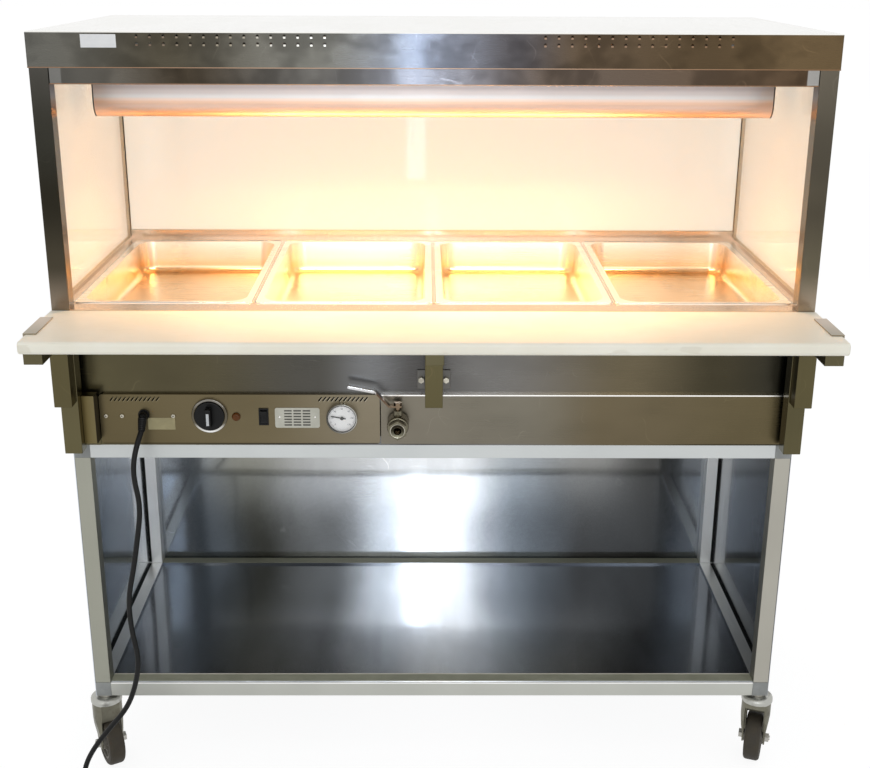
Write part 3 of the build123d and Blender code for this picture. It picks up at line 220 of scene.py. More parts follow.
class Tree(Graph):
    """The node tree of one material, or of the world."""

    def __init__(self, name: str, world: bool = False) -> None:
        """Start an empty tree.

        Args:
            name: Name of the material or the world.
            world: Whether it is a world.
        """
        self.owner = (bpy.data.worlds if world else bpy.data.materials).new(name)
        self.owner.use_nodes = True
        super().__init__(self.owner.node_tree)
        self.nodes.clear()

    def place(self, scale: Sequence[float] = (1, 1, 1), shift: Sequence[float] = (0, 0, 0),
              turn: Sequence[float] = (0, 0, 0)) -> Sig:
        """Object coordinates, moved, turned and scaled.

        Args:
            scale: Scale along each axis.
            shift: Shift along each axis, in metres before the scale.
            turn: Turn about each axis, in radians.

        Returns:
            The coordinates.
        """
        coords = self.add("ShaderNodeTexCoord", out="Object")
        moved = tuple(a * b for a, b in zip(scale, shift))
        sockets = {0: coords, 1: moved, 2: tuple(turn), 3: tuple(scale)}
        return self.add("ShaderNodeMapping", None, sockets)

    def axis(self, axis: Axis) -> Sig:
        """One of the object coordinates, in metres."""
        return self.add("ShaderNodeSeparateXYZ", None, {0: self.place()}, axis)

    def noise(self, scale: float | Sequence[float], detail: float = 2.0, rough: float = 0.5,
              **where: Sequence[float]) -> Sig:
        """Smooth noise from 0 to 1 on the object coordinates.

        Args:
            scale: Waves per metre, the same all ways or along each axis.
            detail: Number of octaves.
            rough: How strong the finer octaves are.
            where: Shift and turn of the coordinates.

        Returns:
            The noise.
        """
        sizes = scale if isinstance(scale, tuple) else (scale,) * 3
        sockets = {"Vector": self.place(sizes, **where), "Scale": 1.0}
        sockets |= {"Detail": detail, "Roughness": rough}
        return self.add("ShaderNodeTexNoise", None, sockets)

    def mix(self, share: Sig | float, first: Sig | Colour, second: Sig | Colour) -> Sig:
        """A colour between two others, the first at a share of 0 and the second at 1."""
        return self.add("ShaderNodeMix", {"data_type": "RGBA"}, {0: share, 6: first, 7: second}, 2)

    def blend(self, share: Sig | float, first: Sig, second: Sig) -> Sig:
        """A shader between two others, the first at a share of 0 and the second at 1."""
        return self.add("ShaderNodeMixShader", None, {0: share, 1: first, 2: second})

    def level(self, colour: Sig, value: Sig) -> Sig:
        """A colour whose brightness is multiplied by a value."""
        return self.add("ShaderNodeHueSaturation", None, {"Value": value, "Color": colour})

    def hairlines(self, scale: float, turn: Sequence[float], width: float) -> Sig:
        """Thin curved lines where a smooth noise passes its middle.

        Args:
            scale: How many turns a line takes in a metre.
            turn: Euler turn of the pattern.
            width: Half the width of a line, as a share of the noise.

        Returns:
            1 on a line, 0 off it.
        """
        off = self.noise(scale, 1.0, turn=turn) - MIDDLE
        return 1 - off.larger(off * -1).step(0.0, width)

    def bump(self, height: Sig, distance: float, under: Sig | None = None) -> Sig:
        """A normal from a height.

        Args:
            height: Height from 0 to 1.
            distance: How deep a height of 1 is, in metres.
            under: A normal that this one is laid over.

        Returns:
            The normal.
        """
        sockets = {"Strength": 1.0, "Distance": distance, "Height": height}
        if under is not None:
            sockets["Normal"] = under
        return self.add("ShaderNodeBump", None, sockets)

    def surface(self, **values: object) -> bpy.types.Material:
        """Close the tree with one Principled shader, its sockets named with underscores."""
        sockets = {key.replace("_", " "): value for key, value in values.items()}
        return self.close(self.add("ShaderNodeBsdfPrincipled", None, sockets))

    def backdrop(self, lit: Sig, seen: Sig, share: float) -> bpy.types.ID:
        """Close the tree with one shader for light and one that camera, metal and glass see.

        Args:
            lit: The shader that light meets.
            seen: The shader that is seen.
            share: How much of it is seen.

        Returns:
            The material or the world.
        """
        path = self.add("ShaderNodeLightPath", out="Is Camera Ray")
        view = path.larger(path.other("Is Glossy Ray")).larger(path.other("Is Transmission Ray"))
        return self.close(self.blend(view if share == 1 else view * share, lit, seen))

    def close(self, shader: Sig) -> bpy.types.ID:
        """Link a shader to the output.

        Args:
            shader: The shader.

        Returns:
            The material or the world.
        """
        kind = "World" if isinstance(self.owner, bpy.types.World) else "Material"
        self.add(f"ShaderNodeOutput{kind}", None, {0: shader})
        return self.owner


class Finish(Protocol):
    """Anything that makes a material."""

    def make(self) -> bpy.types.Material:
        """Build the material."""


@dataclass(frozen=True)
class Sweep:
    """A run of tones along one axis.

    Attributes:
        axis: The axis.
        stops: Places in metres, each with its red, green and blue.
    """

    axis: Axis
    stops: tuple[tuple[float, int, int, int], ...]

    def signal(self, t: Tree, warp: Sig | float = 0.0) -> Sig:
        """The colour at every point.

        Args:
            t: The material's tree.
            warp: A shift along the axis, in metres.

        Returns:
            The colour.
        """
        low, high = self.stops[0][0], self.stops[-1][0]
        share = (t.axis(self.axis) + warp - low) * (1 / (high - low))
        stops = [((place - low) / (high - low), shade(tone)) for place, *tone in self.stops]
        return t.add("ShaderNodeValToRGB", {"stops": stops}, {0: share})


@dataclass(frozen=True)
class Band:
    """A stretch of a surface along one axis that has a tone of its own, most often a painted
    highlight or painted shade.

    Attributes:
        axis: The axis.
        low: Where it starts, in metres.
        high: Where it ends.
        tone: Its tone.
        soft: How far its edges fade.
    """

    axis: Axis
    low: float
    high: float
    tone: Tone
    soft: float = 0.0006

    def over(self, t: Tree, colour: Sig) -> Sig:
        """Lay the band over a colour.

        Args:
            t: The material's tree.
            colour: The colour under it.

        Returns:
            The colour with the band.
        """
        where = t.axis(self.axis)
        inside = 1 - where.step(self.high, self.high + self.soft)
        return t.mix(where.step(self.low - self.soft, self.low) * inside, colour, shade(self.tone))


@dataclass(frozen=True)
class SheetSteel:
    """Stainless sheet with a brushed grain, soft clouds of tone, fine scratches and slight waves.

    Attributes:
        name: The material's name.
        sweep: Mean tone along the sheet; in most recipes it paints reflection of the room and the
            lamps, or lamp light.
        way: The way of the brush.
        rough: Mean roughness.
        contrast: How far the clouds change the tone.
        grain: Share of the grain in that change.
        scratch: How clearly single scratches show.
        clouds: Clouds per metre along X, Y and Z.
        crisp: Half the width of a cloud's edge, less for a harder edge.
        waves: Depth of the sheet's waves in metres.
        warp: How far the clouds bend the sweep, in metres.
        bands: Stretches with a tone of their own, mostly painted highlights and painted shade.
        grain_depth: Depth of the brushed grain in metres.
        dull: Extra roughness of the dull specks.
        second: Mean tone at the far end of `between`.
        between: The axis that leads from the first sweep to the second, its start and its end.
        scratch_light: How much brighter a clear scratch is.
        cloud_rough: How far the clouds change the roughness.
        grain_rough: How far the grain changes it.
        grain_share: Depth of the grain against that of a clear scratch.
    """

    name: str
    sweep: Sweep
    way: Way = Way.ACROSS
    rough: float = 0.3
    contrast: float = 0.4
    grain: float = 0.25
    scratch: float = 0.25
    clouds: tuple[float, float, float] = (2.2, 2.2, 2.2)
    crisp: float = 0.2
    waves: float = 0.0
    warp: float = 0.0
    bands: tuple[Band, ...] = ()
    grain_depth: float = 0.00003
    dull: float = 0.0
    second: Sweep | None = None
    between: tuple[Axis, float, float] = (Z, 0.0, 1.0)
    scratch_light: float = 1.6
    cloud_rough: float = 0.05
    grain_rough: float = 0.06
    grain_share: float = 0.6

    def make(self) -> bpy.types.Material:
        """Build the material.

        Returns:
            The material.
        """
        t = Tree(self.name)
        grain = t.noise(self.way.value, 3.0, 0.65)
        cloud = t.noise(self.clouds, 3.0, 0.55).step(MIDDLE - self.crisp, MIDDLE + self.crisp)
        patch = t.noise(23, 1.0, shift=(0.7, 0.3, 0.1)).step(0.52, 0.62)
        long = t.hairlines(11.0, (0.4, 0.2, 0.5), 0.0022)
        short = t.hairlines(7.0, (1.1, 0.7, 0.1), 0.0016)
        marks = long.larger(short) * patch * self.scratch
        bend = (t.noise(2.6, shift=(0.4, 0.2, 0.7)) - MIDDLE) * self.warp
        mean = self.sweep.signal(t, bend)
        if self.second is not None:
            axis, start, end = self.between
            far = (t.axis(axis) + bend).step(start, end)
            mean = t.mix(far, mean, self.second.signal(t, bend))
        tone = cloud * (1 - self.grain) + grain * self.grain
        light = tone * (2 * self.contrast) + (1 - self.contrast) + marks * self.scratch_light
        colour = t.level(mean, light)
        for band in self.bands:
            colour = band.over(t, colour)
        specks = t.noise(2600, 1.0, shift=(0.2, 0.5, 0.9)).step(0.46, 0.54) * self.dull
        sheen = self.rough + (cloud - MIDDLE) * self.cloud_rough
        rough = sheen + (grain - MIDDLE) * self.grain_rough + specks
        wave = t.bump(t.noise(2.4, 0.0, shift=(0.1, 0.6, 0.3)), self.waves)
        normal = t.bump(grain * self.grain_share + marks, self.grain_depth, wave)
        return t.surface(Base_Color=colour, Metallic=1.0, Roughness=rough, Normal=normal)


@dataclass(frozen=True)
class DrawnAluminium:
    """Satin aluminium with faint draw lines and rub marks.

    Attributes:
        name: The material's name.
        sweep: Mean tone along the piece.
        rough: Mean roughness.
        bands: Stretches with a tone of their own: painted highlights and painted shade.
        metal: How metallic it is.
        darkest: Brightness where there is no cloud and no line.
        cloud_light: How much brighter a cloud is.
        line_light: How much brighter a draw line is.
        line_rough: How far the lines change the roughness.
        line_depth: Depth of the lines in metres.
    """

    name: str
    sweep: Sweep
    rough: float = 0.42
    bands: tuple[Band, ...] = ()
    metal: float = 0.85
    darkest: float = 0.94
    cloud_light: float = 0.08
    line_light: float = 0.04
    line_rough: float = 0.16
    line_depth: float = 0.00004

    def make(self) -> bpy.types.Material:
        """Build the material.

        Returns:
            The material.
        """
        t = Tree(self.name)
        fine = t.noise(140, 4.0, 0.7)
        cloud = t.noise(5, 3.0).step(0.3, 0.7)
        mean = self.sweep.signal(t)
        for band in self.bands:
            mean = band.over(t, mean)
        light = self.darkest + cloud * self.cloud_light + fine * self.line_light
        return t.surface(
            Base_Color=t.level(mean, light), Metallic=self.metal,
            Roughness=self.rough + (fine - MIDDLE) * self.line_rough,
            Normal=t.bump(fine, self.line_depth))


@dataclass(frozen=True)
class CastZinc:
    """Cast and plated metal between two tones, with fine pits and brownish stains.

    Attributes:
        name: The material's name.
        low: Its darker tone.
        high: Its paler tone.
        stain: Tone of the stains.
        rough: Mean roughness.
        stained: How much a stain covers.
        bands: Stretches with a tone of their own.
        stain_dull: How much less metallic a full stain is.
        stain_rough: How much rougher it is.
        pit_rough: How far the pits change the roughness.
        pit_depth: Depth of the pits in metres.
    """

    name: str
    low: Tone
    high: Tone
    stain: Tone
    rough: float = 0.4
    stained: float = 0.5
    bands: tuple[Band, ...] = ()
    stain_dull: float = 0.7
    stain_rough: float = 0.3
    pit_rough: float = 0.15
    pit_depth: float = 0.00012

    def make(self) -> bpy.types.Material:
        """Build the material.

        Returns:
            The material.
        """
        t = Tree(self.name)
        grit = t.noise(420, 4.0, 0.7)
        dirt = t.noise(48, 5.0, 0.65, shift=(0.3, 0.1, 0.2)).step(0.5, 0.72) * self.stained
        metal = t.mix(t.noise(26, 4.0, 0.6), shade(self.low), shade(self.high))
        for band in self.bands:
            metal = band.over(t, metal)
        rough = self.rough + dirt * self.stain_rough + (grit - MIDDLE) * self.pit_rough
        return t.surface(
            Base_Color=t.mix(dirt, metal, shade(self.stain)), Metallic=1 - dirt * self.stain_dull,
            Roughness=rough, Normal=t.bump(grit, self.pit_depth))


@dataclass(frozen=True)
class Moulding:
    """Plastic, rubber, paint or paper between two tones, with a fine skin and patches of dust.

    Attributes:
        name: The material's name.
        low: Its darker tone.
        high: Its paler tone.
        rough: Roughness without dust.
        skin: Grains of its skin per metre.
        depth: Depth of the skin in metres.
        coat: Weight of a clear coat.
        gloss: Level of its mirror light.
        dust_tone: Share of the dust in the tone.
        skin_tone: Share of the skin in the tone.
        dust_rough: How much rougher the dust is.
        skin_rough: How far the skin changes the roughness.
    """

    name: str
    low: Tone
    high: Tone
    rough: float = 0.45
    skin: float = 600.0
    depth: float = 0.00004
    coat: float = 0.0
    gloss: float = 0.5
    dust_tone: float = 0.7
    skin_tone: float = 0.3
    dust_rough: float = 0.12
    skin_rough: float = 0.1

    def make(self) -> bpy.types.Material:
        """Build the material.

        Returns:
            The material.
        """
        t = Tree(self.name)
        skin = t.noise(self.skin, 3.0, 0.6)
        dust = t.noise(30, 4.0, 0.6).step(0.35, 0.75)
        tone = dust * self.dust_tone + skin * self.skin_tone
        rough = self.rough + dust * self.dust_rough + (skin - MIDDLE) * self.skin_rough
        return t.surface(
            Base_Color=t.mix(tone, shade(self.low), shade(self.high)), Roughness=rough,
            Coat_Weight=self.coat, Specular_IOR_Level=self.gloss, Normal=t.bump(skin, self.depth))


@dataclass(frozen=True)
class ChoppingPlastic:
    """White polyethylene with a fine grain and faint knife marks.

    Attributes:
        name: The material's name.
        low: Its darker tone.
        high: Its paler tone.
        cut: Tone of the knife marks.
        cut_share: How clearly they show.
        rough: Roughness where the grain is low.
        grain_rough: How much rougher its high points are.
        grain_share: Depth of the grain against that of a mark.
        depth: Depth of a mark in metres.
        milky: How much light goes in under the surface.
        milky_reach: How far red, green and blue go there, in metres.
    """

    name: str
    low: Tone
    high: Tone
    cut: Tone
    cut_share: float = 0.25
    rough: float = 0.44
    grain_rough: float = 0.12
    grain_share: float = 0.5
    depth: float = 0.00006
    milky: float = 0.12
    milky_reach: tuple[float, float, float] = (0.006, 0.005, 0.004)

    def make(self) -> bpy.types.Material:
        """Build the material.

        Returns:
            The material.
        """
        t = Tree(self.name)
        grain = t.noise(500, 3.0, 0.6)
        cloud = t.noise(7, 3.0).step(0.3, 0.75)
        cuts = t.noise((16, 620, 40), 1.0, turn=(0, 0, 0.35)).step(0.69, 0.74)
        marks = cuts.larger(t.noise((18, 560, 40), 1.0, turn=(0, 0, -0.6)).step(0.7, 0.75))
        clean = t.mix(cloud, shade(self.low), shade(self.high))
        return t.surface(
            Base_Color=t.mix(marks * self.cut_share, clean, shade(self.cut)),
            Roughness=self.rough + grain * self.grain_rough, Subsurface_Weight=self.milky,
            Subsurface_Radius=self.milky_reach,
            Normal=t.bump(grain * self.grain_share - marks, self.depth))


@dataclass(frozen=True)
class PaneGlass:
    """Clear pane with a thin diffuse film, paler in patches. On the back glass the film's warm
    colour is painted lamp light that stands in for the lit wall seen through the pane; on the dial
    window it is a faint white haze.

    Attributes:
        name: The material's name.
        film: Colour of the film; warm on the back glass, as painted lamp light.
        share: How much the film covers.
        clear: Colour of what is seen through the pane.
        wiped: Brightness of the film in its dimmest patches.
        film_rough: Roughness of the film.
        gloss_rough: Roughness of the pane's mirror light.
        index: Index that sets how that light grows towards the rim of view.
        gloss: Strength of that light.
    """

    name: str
    film: Colour
    share: float
    clear: Colour = (0.99, 0.98, 0.94)
    wiped: float = 0.97
    film_rough: float = 0.6
    gloss_rough: float = 0.03
    index: float = 1.45
    gloss: float = 0.35

    def make(self) -> bpy.types.Material:
        """Build the material.

        Returns:
            The material.
        """
        t = Tree(self.name)
        # The film's colour, held in dust, is painted warm lamp light on the back glass and a faint
        # white haze on the dial window.
        layer_patches = t.noise((3, 3, 4), 0.0, turn=(0, 0.3, 0.2))
        dust = t.mix(layer_patches, tuple(c * self.wiped for c in self.film), self.film)
        clear = t.add("ShaderNodeBsdfTransparent", None, {0: self.clear})
        sockets = {"Base Color": dust, "Roughness": self.film_rough}
        layer_shader = t.add("ShaderNodeBsdfPrincipled", None, sockets)
        sockets = {"Color": WHITE, "Roughness": self.gloss_rough}
        mirror = t.add("ShaderNodeBsdfGlossy", None, sockets)
        edge = t.add("ShaderNodeFresnel", None, {0: self.index})
        return t.close(t.blend(edge * self.gloss, t.blend(self.share, clear, layer_shader), mirror))


@dataclass(frozen=True)
class GlowingQuartz:
    """Lit quartz tube, hotter along its wire.

    Attributes:
        name: The material's name.
        cool: Colour of the glow between the wire's turns.
        hot: Colour of the glow on them.
        power: Strength of the glow.
        tube: Colour of the quartz.
        rough: Its roughness.
    """

    name: str
    cool: Colour = (1.0, 0.42, 0.12)
    hot: Colour = (1.0, 0.62, 0.28)
    power: float = 6.0
    tube: Colour = (0.8, 0.6, 0.4)
    rough: float = 0.2

    def make(self) -> bpy.types.Material:
        """Build the material.

        Returns:
            The material.
        """
        t = Tree(self.name)
        glow = t.mix(t.noise((240, 40, 40)), self.cool, self.hot)
        return t.surface(
            Base_Color=self.tube, Roughness=self.rough, Emission_Color=glow,
            Emission_Strength=self.power)


class Finishes:
    """All finishes of the bar, each built once."""

    RECIPES: ClassVar[dict[str, Finish]] = {
        # Fascia: the sweep along X, dark olive at the sides and pale bluish in the middle, is
        # painted reflection of the room and the strip lamp; the pale band along the top is a
        # painted highlight on the lit top face.
        "fascia": SheetSteel(
            "fascia_steel", Sweep(X, (
                (-0.68, 86, 85, 80), (-0.45, 58, 54, 45), (-0.2, 88, 87, 82), (0.0, 98, 101, 110),
                (0.13, 62, 60, 62), (0.25, 68, 57, 45), (0.45, 61, 50, 36), (0.68, 88, 73, 52))),
            Way.ACROSS, rough=0.09, contrast=0.26, grain=0.05, scratch=0.5, clouds=(9, 3, 14),
            crisp=0.1, waves=0.0025, grain_depth=0.000006, dull=0.16,
            bands=(Band(Z, 1.4538, 1.46, (233, 232, 227)),)),
        # Canopy rail: the sweep along X is painted reflection of the room and the strip lamp; the
        # two bands make both ends lighter.
        "rail": SheetSteel(
            "canopy_rail_steel", Sweep(X, (
                (-0.66, 92, 90, 85), (-0.42, 50, 44, 36), (-0.2, 76, 74, 71), (0.0, 104, 104, 110),
                (0.2, 72, 63, 56), (0.66, 72, 58, 44))),
            Way.ACROSS, rough=0.09, contrast=0.28, grain=0.05, scratch=0.4, clouds=(10, 3, 10),
            crisp=0.1, waves=0.0025, grain_depth=0.000006, dull=0.16, bands=(
                Band(X, -0.66, -0.6260, (108, 107, 104), soft=0.002),
                Band(X, 0.6260, 0.66, (146, 144, 141), soft=0.002))),
        # Posts: the sweeps along Z, olive low down with a pale stripe, are painted reflection; the
        # posts on the right take the second, paler sweep, a painted lit copy of the first.
        "post": SheetSteel(
            "post_steel", Sweep(Z, (
                (0.70, 92, 86, 62), (0.955, 84, 78, 58), (0.985, 120, 108, 94), (1.06, 64, 59, 48),
                (1.16, 46, 43, 35), (1.28, 52, 51, 45), (1.46, 74, 72, 68))),
            Way.UPRIGHT, rough=0.22, contrast=0.22, grain=0.3, clouds=(2, 2, 4), second=Sweep(Z, (
                (0.70, 92, 86, 62), (0.955, 88, 82, 60), (0.985, 150, 136, 118),
                (1.06, 104, 97, 80), (1.16, 82, 76, 64), (1.28, 78, 73, 63), (1.46, 92, 86, 76))),
            between=(X, -0.1, 0.1)),
        # Body casing: the sweep along X, olive and grey with two pale stripes, is painted
        # reflection of the room and the strip lamp.
        "casing": SheetSteel(
            "casing_steel", Sweep(X, (
                (-0.66, 90, 84, 62), (-0.45, 82, 76, 58), (-0.22, 76, 74, 69),
                (-0.12, 108, 108, 108), (-0.03, 78, 76, 74), (0.1, 110, 108, 105),
                (0.36, 99, 90, 71), (0.52, 66, 61, 47), (0.66, 54, 52, 44))),
            Way.ACROSS, rough=0.26, contrast=0.16, grain=0.35, clouds=(4, 2, 7), warp=0.05),
        # Lower panels: the olive sweep along X is painted reflection; the near-white band along the
        # top edge is a painted highlight.
        "lower": SheetSteel(
            "lower_panel_steel", Sweep(X, (
                (-0.12, 118, 112, 100), (0.16, 115, 110, 98), (0.32, 102, 92, 72),
                (0.68, 98, 88, 64))),
            Way.ACROSS, rough=0.28, contrast=0.14, grain=0.35, clouds=(4, 2, 7), warp=0.08,
            bands=(Band(Z, 0.8030, 0.8060, (255, 252, 248)),)),
        # Control panel: the olive sweep along X is painted reflection; the dark band along the
        # bottom edge is a painted shadow in the gap above the stand.
        "control": SheetSteel(
            "control_panel_steel",
            Sweep(X, ((-0.62, 98, 88, 64), (-0.35, 104, 94, 71), (-0.1, 126, 117, 99))), Way.ACROSS,
            rough=0.32, contrast=0.1, grain=0.4, scratch=0.1, clouds=(4, 2, 6), warp=0.06,
            bands=(Band(Z, 0.7075, 0.7092, (56, 50, 37)),)),
        # Wiring cover: the olive tone is painted reflection, and the dark band over its right side
        # face is painted shade.
        "cover": SheetSteel(
            "wiring_cover_steel", Sweep(X, ((-0.646, 104, 92, 58), (-0.621, 112, 102, 72))),
            Way.UPRIGHT, rough=0.34, contrast=0.14, grain=0.3,
            bands=(Band(X, -0.6224, -0.60, (40, 36, 28)),)),
        # Board brackets: the olive sweep along Y, greyer at the foot plates, is painted reflection
        # of the room.
        "bracket": SheetSteel(
            "bracket_steel", Sweep(Y, (
                (POST_Y - 0.16, 92, 86, 64), (POST_Y, 90, 83, 58), (POST_Y + 0.044, 90, 83, 58),
                (POST_Y + 0.05, 98, 96, 92))),
            Way.UPRIGHT, rough=0.36, contrast=0.12, grain=0.3),
        # Stand's back panel: the sweep along X, dark at the sides with a near-white middle, and the
        # brighter second sweep towards the top are painted reflection of the strip lamp and the
        # room.
        "polished": SheetSteel(
            "polished_sheet", Sweep(X, (
                (-0.66, 150, 155, 160), (-0.6, 146, 150, 154), (-0.54, 112, 119, 126),
                (-0.42, 92, 92, 86), (-0.26, 178, 180, 180), (-0.1, 226, 229, 232),
                (0.05, 230, 233, 236), (0.19, 156, 164, 170), (0.37, 92, 92, 91),
                (0.51, 84, 84, 83), (0.6, 130, 134, 138), (0.66, 146, 150, 154))),
            Way.ACROSS, rough=0.06, contrast=0.14, grain=0.05, scratch=0.3, clouds=(5, 1, 2.5),
            waves=0.003, warp=0.12, grain_depth=0.000003, dull=0.24, second=Sweep(X, (
                (-0.66, 160, 165, 170), (-0.58, 140, 145, 150), (-0.42, 168, 168, 158),
                (-0.26, 210, 211, 211), (-0.1, 240, 242, 244), (0.05, 242, 244, 246),
                (0.19, 190, 195, 199), (0.37, 176, 176, 173), (0.51, 93, 93, 91),
                (0.6, 140, 144, 148), (0.66, 160, 165, 170))),
            between=(Z, 0.2, 0.66)),
        # Stand's side panels: the pale sweeps along Y are painted reflection; the right panel takes
        # the darker second sweep, a painted shaded copy.
        "side_sheet": SheetSteel(
            "side_sheet", Sweep(Y, (
                (POST_Y + 0.06, 196, 201, 208), (POST_Y + 0.35, 226, 231, 238),
                (POST_Y + 0.6, 212, 217, 224))),
            Way.UPRIGHT, rough=0.06, contrast=0.1, grain=0.05, scratch=0.3, clouds=(1, 4, 3),
            waves=0.004, grain_depth=0.000003, dull=0.2, second=Sweep(Y, (
                (POST_Y + 0.06, 133, 136, 140), (POST_Y + 0.35, 157, 160, 164),
                (POST_Y + 0.6, 142, 145, 149))),
            between=(X, -0.1, 0.1)),
        # Shelf: the sweep along X with its near-white middle is painted reflection; towards the
        # back the second sweep darkens the sides, also painted reflection.
        "shelf": SheetSteel(
            "shelf_sheet", Sweep(X, (
                (-0.65, 158, 162, 168), (-0.24, 166, 170, 177), (-0.1, 220, 224, 229),
                (0.0, 250, 251, 252), (0.1, 232, 236, 241), (0.25, 178, 183, 190),
                (0.65, 158, 162, 168))),
            Way.ACROSS, rough=0.07, contrast=0.14, grain=0.05, scratch=0.3, clouds=(7, 2, 1),
            waves=0.003, warp=0.1, grain_depth=0.000003, dull=0.24, second=Sweep(X, (
                (-0.65, 124, 128, 134), (-0.55, 132, 136, 140), (-0.45, 98, 101, 104),
                (-0.24, 88, 91, 95), (-0.12, 168, 173, 180), (-0.03, 228, 230, 234),
                (0.03, 222, 225, 230), (0.13, 164, 168, 176), (0.25, 116, 120, 127),
                (0.45, 130, 136, 144), (0.56, 150, 156, 164), (0.65, 124, 128, 134))),
            between=(Y, POST_Y + 0.1, POST_Y + 0.42)),
        # The shelf's front and rear lips: a matt olive sheet whose tone is painted reflection of
        # the room in the steel.
        "shelf_film": Moulding(
            "shelf_film", (158, 158, 138), (178, 178, 158), rough=0.5, skin=300.0),
        # The flange's bend: a pale strip whose tone is a painted highlight.
        "shelf_bend": Moulding(
            "shelf_bend", (230, 224, 208), (244, 240, 228), rough=0.4, skin=300.0),
        # A dark matt sheet of painted shade, for the gaps between the stand's tubes and its end
        # panels.
        "shade_strip": Moulding(
            "painted_gap_shade", (20, 20, 19), (38, 38, 36), rough=0.6, skin=300.0, gloss=0.2),
        # Pans: the warm sweeps along Z, orange low down and pale towards the rim, are painted lamp
        # light; the inner pans take a paler sweep, a painted lit copy of the outer pans'.
        "pan": SheetSteel(
            "pan_steel", Sweep(Z, (
                (0.914, 236, 206, 166), (0.93, 240, 214, 180), (0.95, 243, 230, 213),
                (0.981, 246, 239, 230))),
            Way.ACROSS, rough=0.28, contrast=0.05, grain=0.1, scratch=0.04, grain_depth=0.00001),
        "inner_pan": SheetSteel(
            "inner_pan_steel", Sweep(Z, (
                (0.914, 240, 216, 178), (0.93, 243, 225, 198), (0.95, 246, 237, 224),
                (0.981, 248, 244, 238))),
            Way.ACROSS, rough=0.28, contrast=0.05, grain=0.1, scratch=0.04, grain_depth=0.00001),
        "deck": SheetSteel(
            "deck_steel", Sweep(X, ((-0.68, 212, 194, 176), (0.68, 212, 194, 176))), Way.ACROSS,
            rough=0.24, contrast=0.06, grain=0.2, scratch=0.03),
        # Board clips: paler and warmer towards the back along Y, a painted highlight from the heat
        # lamp.
        "clip": SheetSteel(
            "clip_steel",
            Sweep(Y, ((POST_Y - 0.16, 150, 140, 120), (POST_Y - 0.06, 186, 168, 148))), Way.DEEP,
            rough=0.3, contrast=0.1, grain=0.3, scratch=0.1),
        # Stand rails: the sweep is paler on the upper rails than on the lower ones as painted
        # light; the near-white bands on the rails' top edges are painted highlights, and the grey
        # band on the rear rails is painted shade.
        "rail_tube": DrawnAluminium(
            "rail_tube",
            Sweep(Z, ((0.15, 184, 185, 178), (0.2, 188, 189, 182), (0.7, 196, 199, 198))), bands=(
                Band(Z, 0.7030, 0.71, (244, 245, 245)), Band(Z, 0.1860, 0.1895, (240, 240, 238)),
                Band(Y, POST_Y + 0.584, POST_Y + 0.62, (132, 134, 132)))),
        # Stand legs: the same tube as the rails, painted darker as shade; the near-white band on
        # the rear legs paints them as lit.
        "leg_tube": DrawnAluminium(
            "leg_tube",
            Sweep(X, ((-0.68, 158, 158, 146), (0.0, 170, 170, 160), (0.68, 171, 168, 158))),
            bands=(Band(Y, POST_Y + 0.58, POST_Y + 0.62, (248, 248, 246)),)),
        # Heat lamp's shell: the sweep along Z, peach low down and grey-mauve at the top, is painted
        # reflection of the glowing pans.
        "lamp": DrawnAluminium(
            "lamp_shell", Sweep(Z, (
                (1.289, 240, 214, 200), (1.303, 238, 211, 199), (1.318, 218, 182, 158),
                (1.3225, 220, 196, 182), (1.3275, 206, 203, 201), (1.336, 191, 182, 179),
                (1.345, 170, 160, 158), (1.373, 140, 130, 128))),
            rough=0.34),
        # Panel screws: their pale tone stands in for glints, a painted highlight; the stains are
        # their own.
        "screw": CastZinc(
            "screw_zinc", (178, 172, 154), (214, 208, 194), (90, 78, 56), rough=0.34, stained=0.4),
        # Knob bezel: the sweep along Z, near white at the bottom and dark across the middle, is
        # painted reflection on the chrome ring.
        "bezel": SheetSteel(
            "bezel_bright", Sweep(Z, (
                (0.732, 236, 236, 235), (0.740, 196, 194, 188), (0.752, 96, 90, 77),
                (0.776, 90, 84, 72), (0.790, 132, 128, 121), (0.799, 120, 116, 109))),
            Way.ACROSS, rough=0.14, contrast=0.08, grain=0.2, scratch=0.1),
        # Valve outlet's face: pale at the bottom and nearly black at the top, painted light on the
        # lower inside and painted shade in the bore.
        "outlet": SheetSteel(
            "outlet_nickel", Sweep(Z, (
                (0.740, 150, 145, 122), (0.748, 100, 97, 82), (0.756, 54, 50, 40),
                (0.768, 36, 31, 24))),
            Way.ACROSS, rough=0.3, contrast=0.1, grain=0.2, scratch=0.1),
        "paper": Moulding(
            "sticker_white", (220, 221, 222), (232, 232, 232), rough=0.6, skin=900.0,
            depth=0.00001),
        "print": Moulding(
            "plate_print", (62, 60, 54), (84, 82, 74), rough=0.5, skin=900.0, depth=0.00001),
        # Vent lips: the pale tones, brightest near the middle, are painted highlights on the
        # pressed lips.
        "vent_lip": SheetSteel(
            "vent_lip_steel", Sweep(X, (
                (-0.50, 96, 82, 70), (-0.34, 130, 122, 108), (-0.2, 214, 212, 206),
                (-0.1, 236, 236, 232), (0.1, 130, 108, 92), (0.6, 112, 88, 66))),
            Way.ACROSS, rough=0.3, contrast=0.1, grain=0.2, scratch=0.1),
        "zinc": CastZinc(
            "caster_zinc", (98, 96, 84), (133, 130, 116), (72, 62, 46), rough=0.4, stained=0.4,
            bands=(Band(Z, 0.1400, 0.16, (180, 180, 174)),)),
        "bolt": CastZinc(
            "bolt_zinc", (150, 148, 140), (200, 198, 192), (110, 96, 76), rough=0.32, stained=0.3),
        "valve": CastZinc(
            "valve_brass", (84, 80, 66), (134, 128, 110), (58, 48, 33), rough=0.26, stained=0.4),
        # Valve lever: the near-white handle carries a painted highlight, and the dark brown from X
        # -0.104 towards the valve is painted shade.
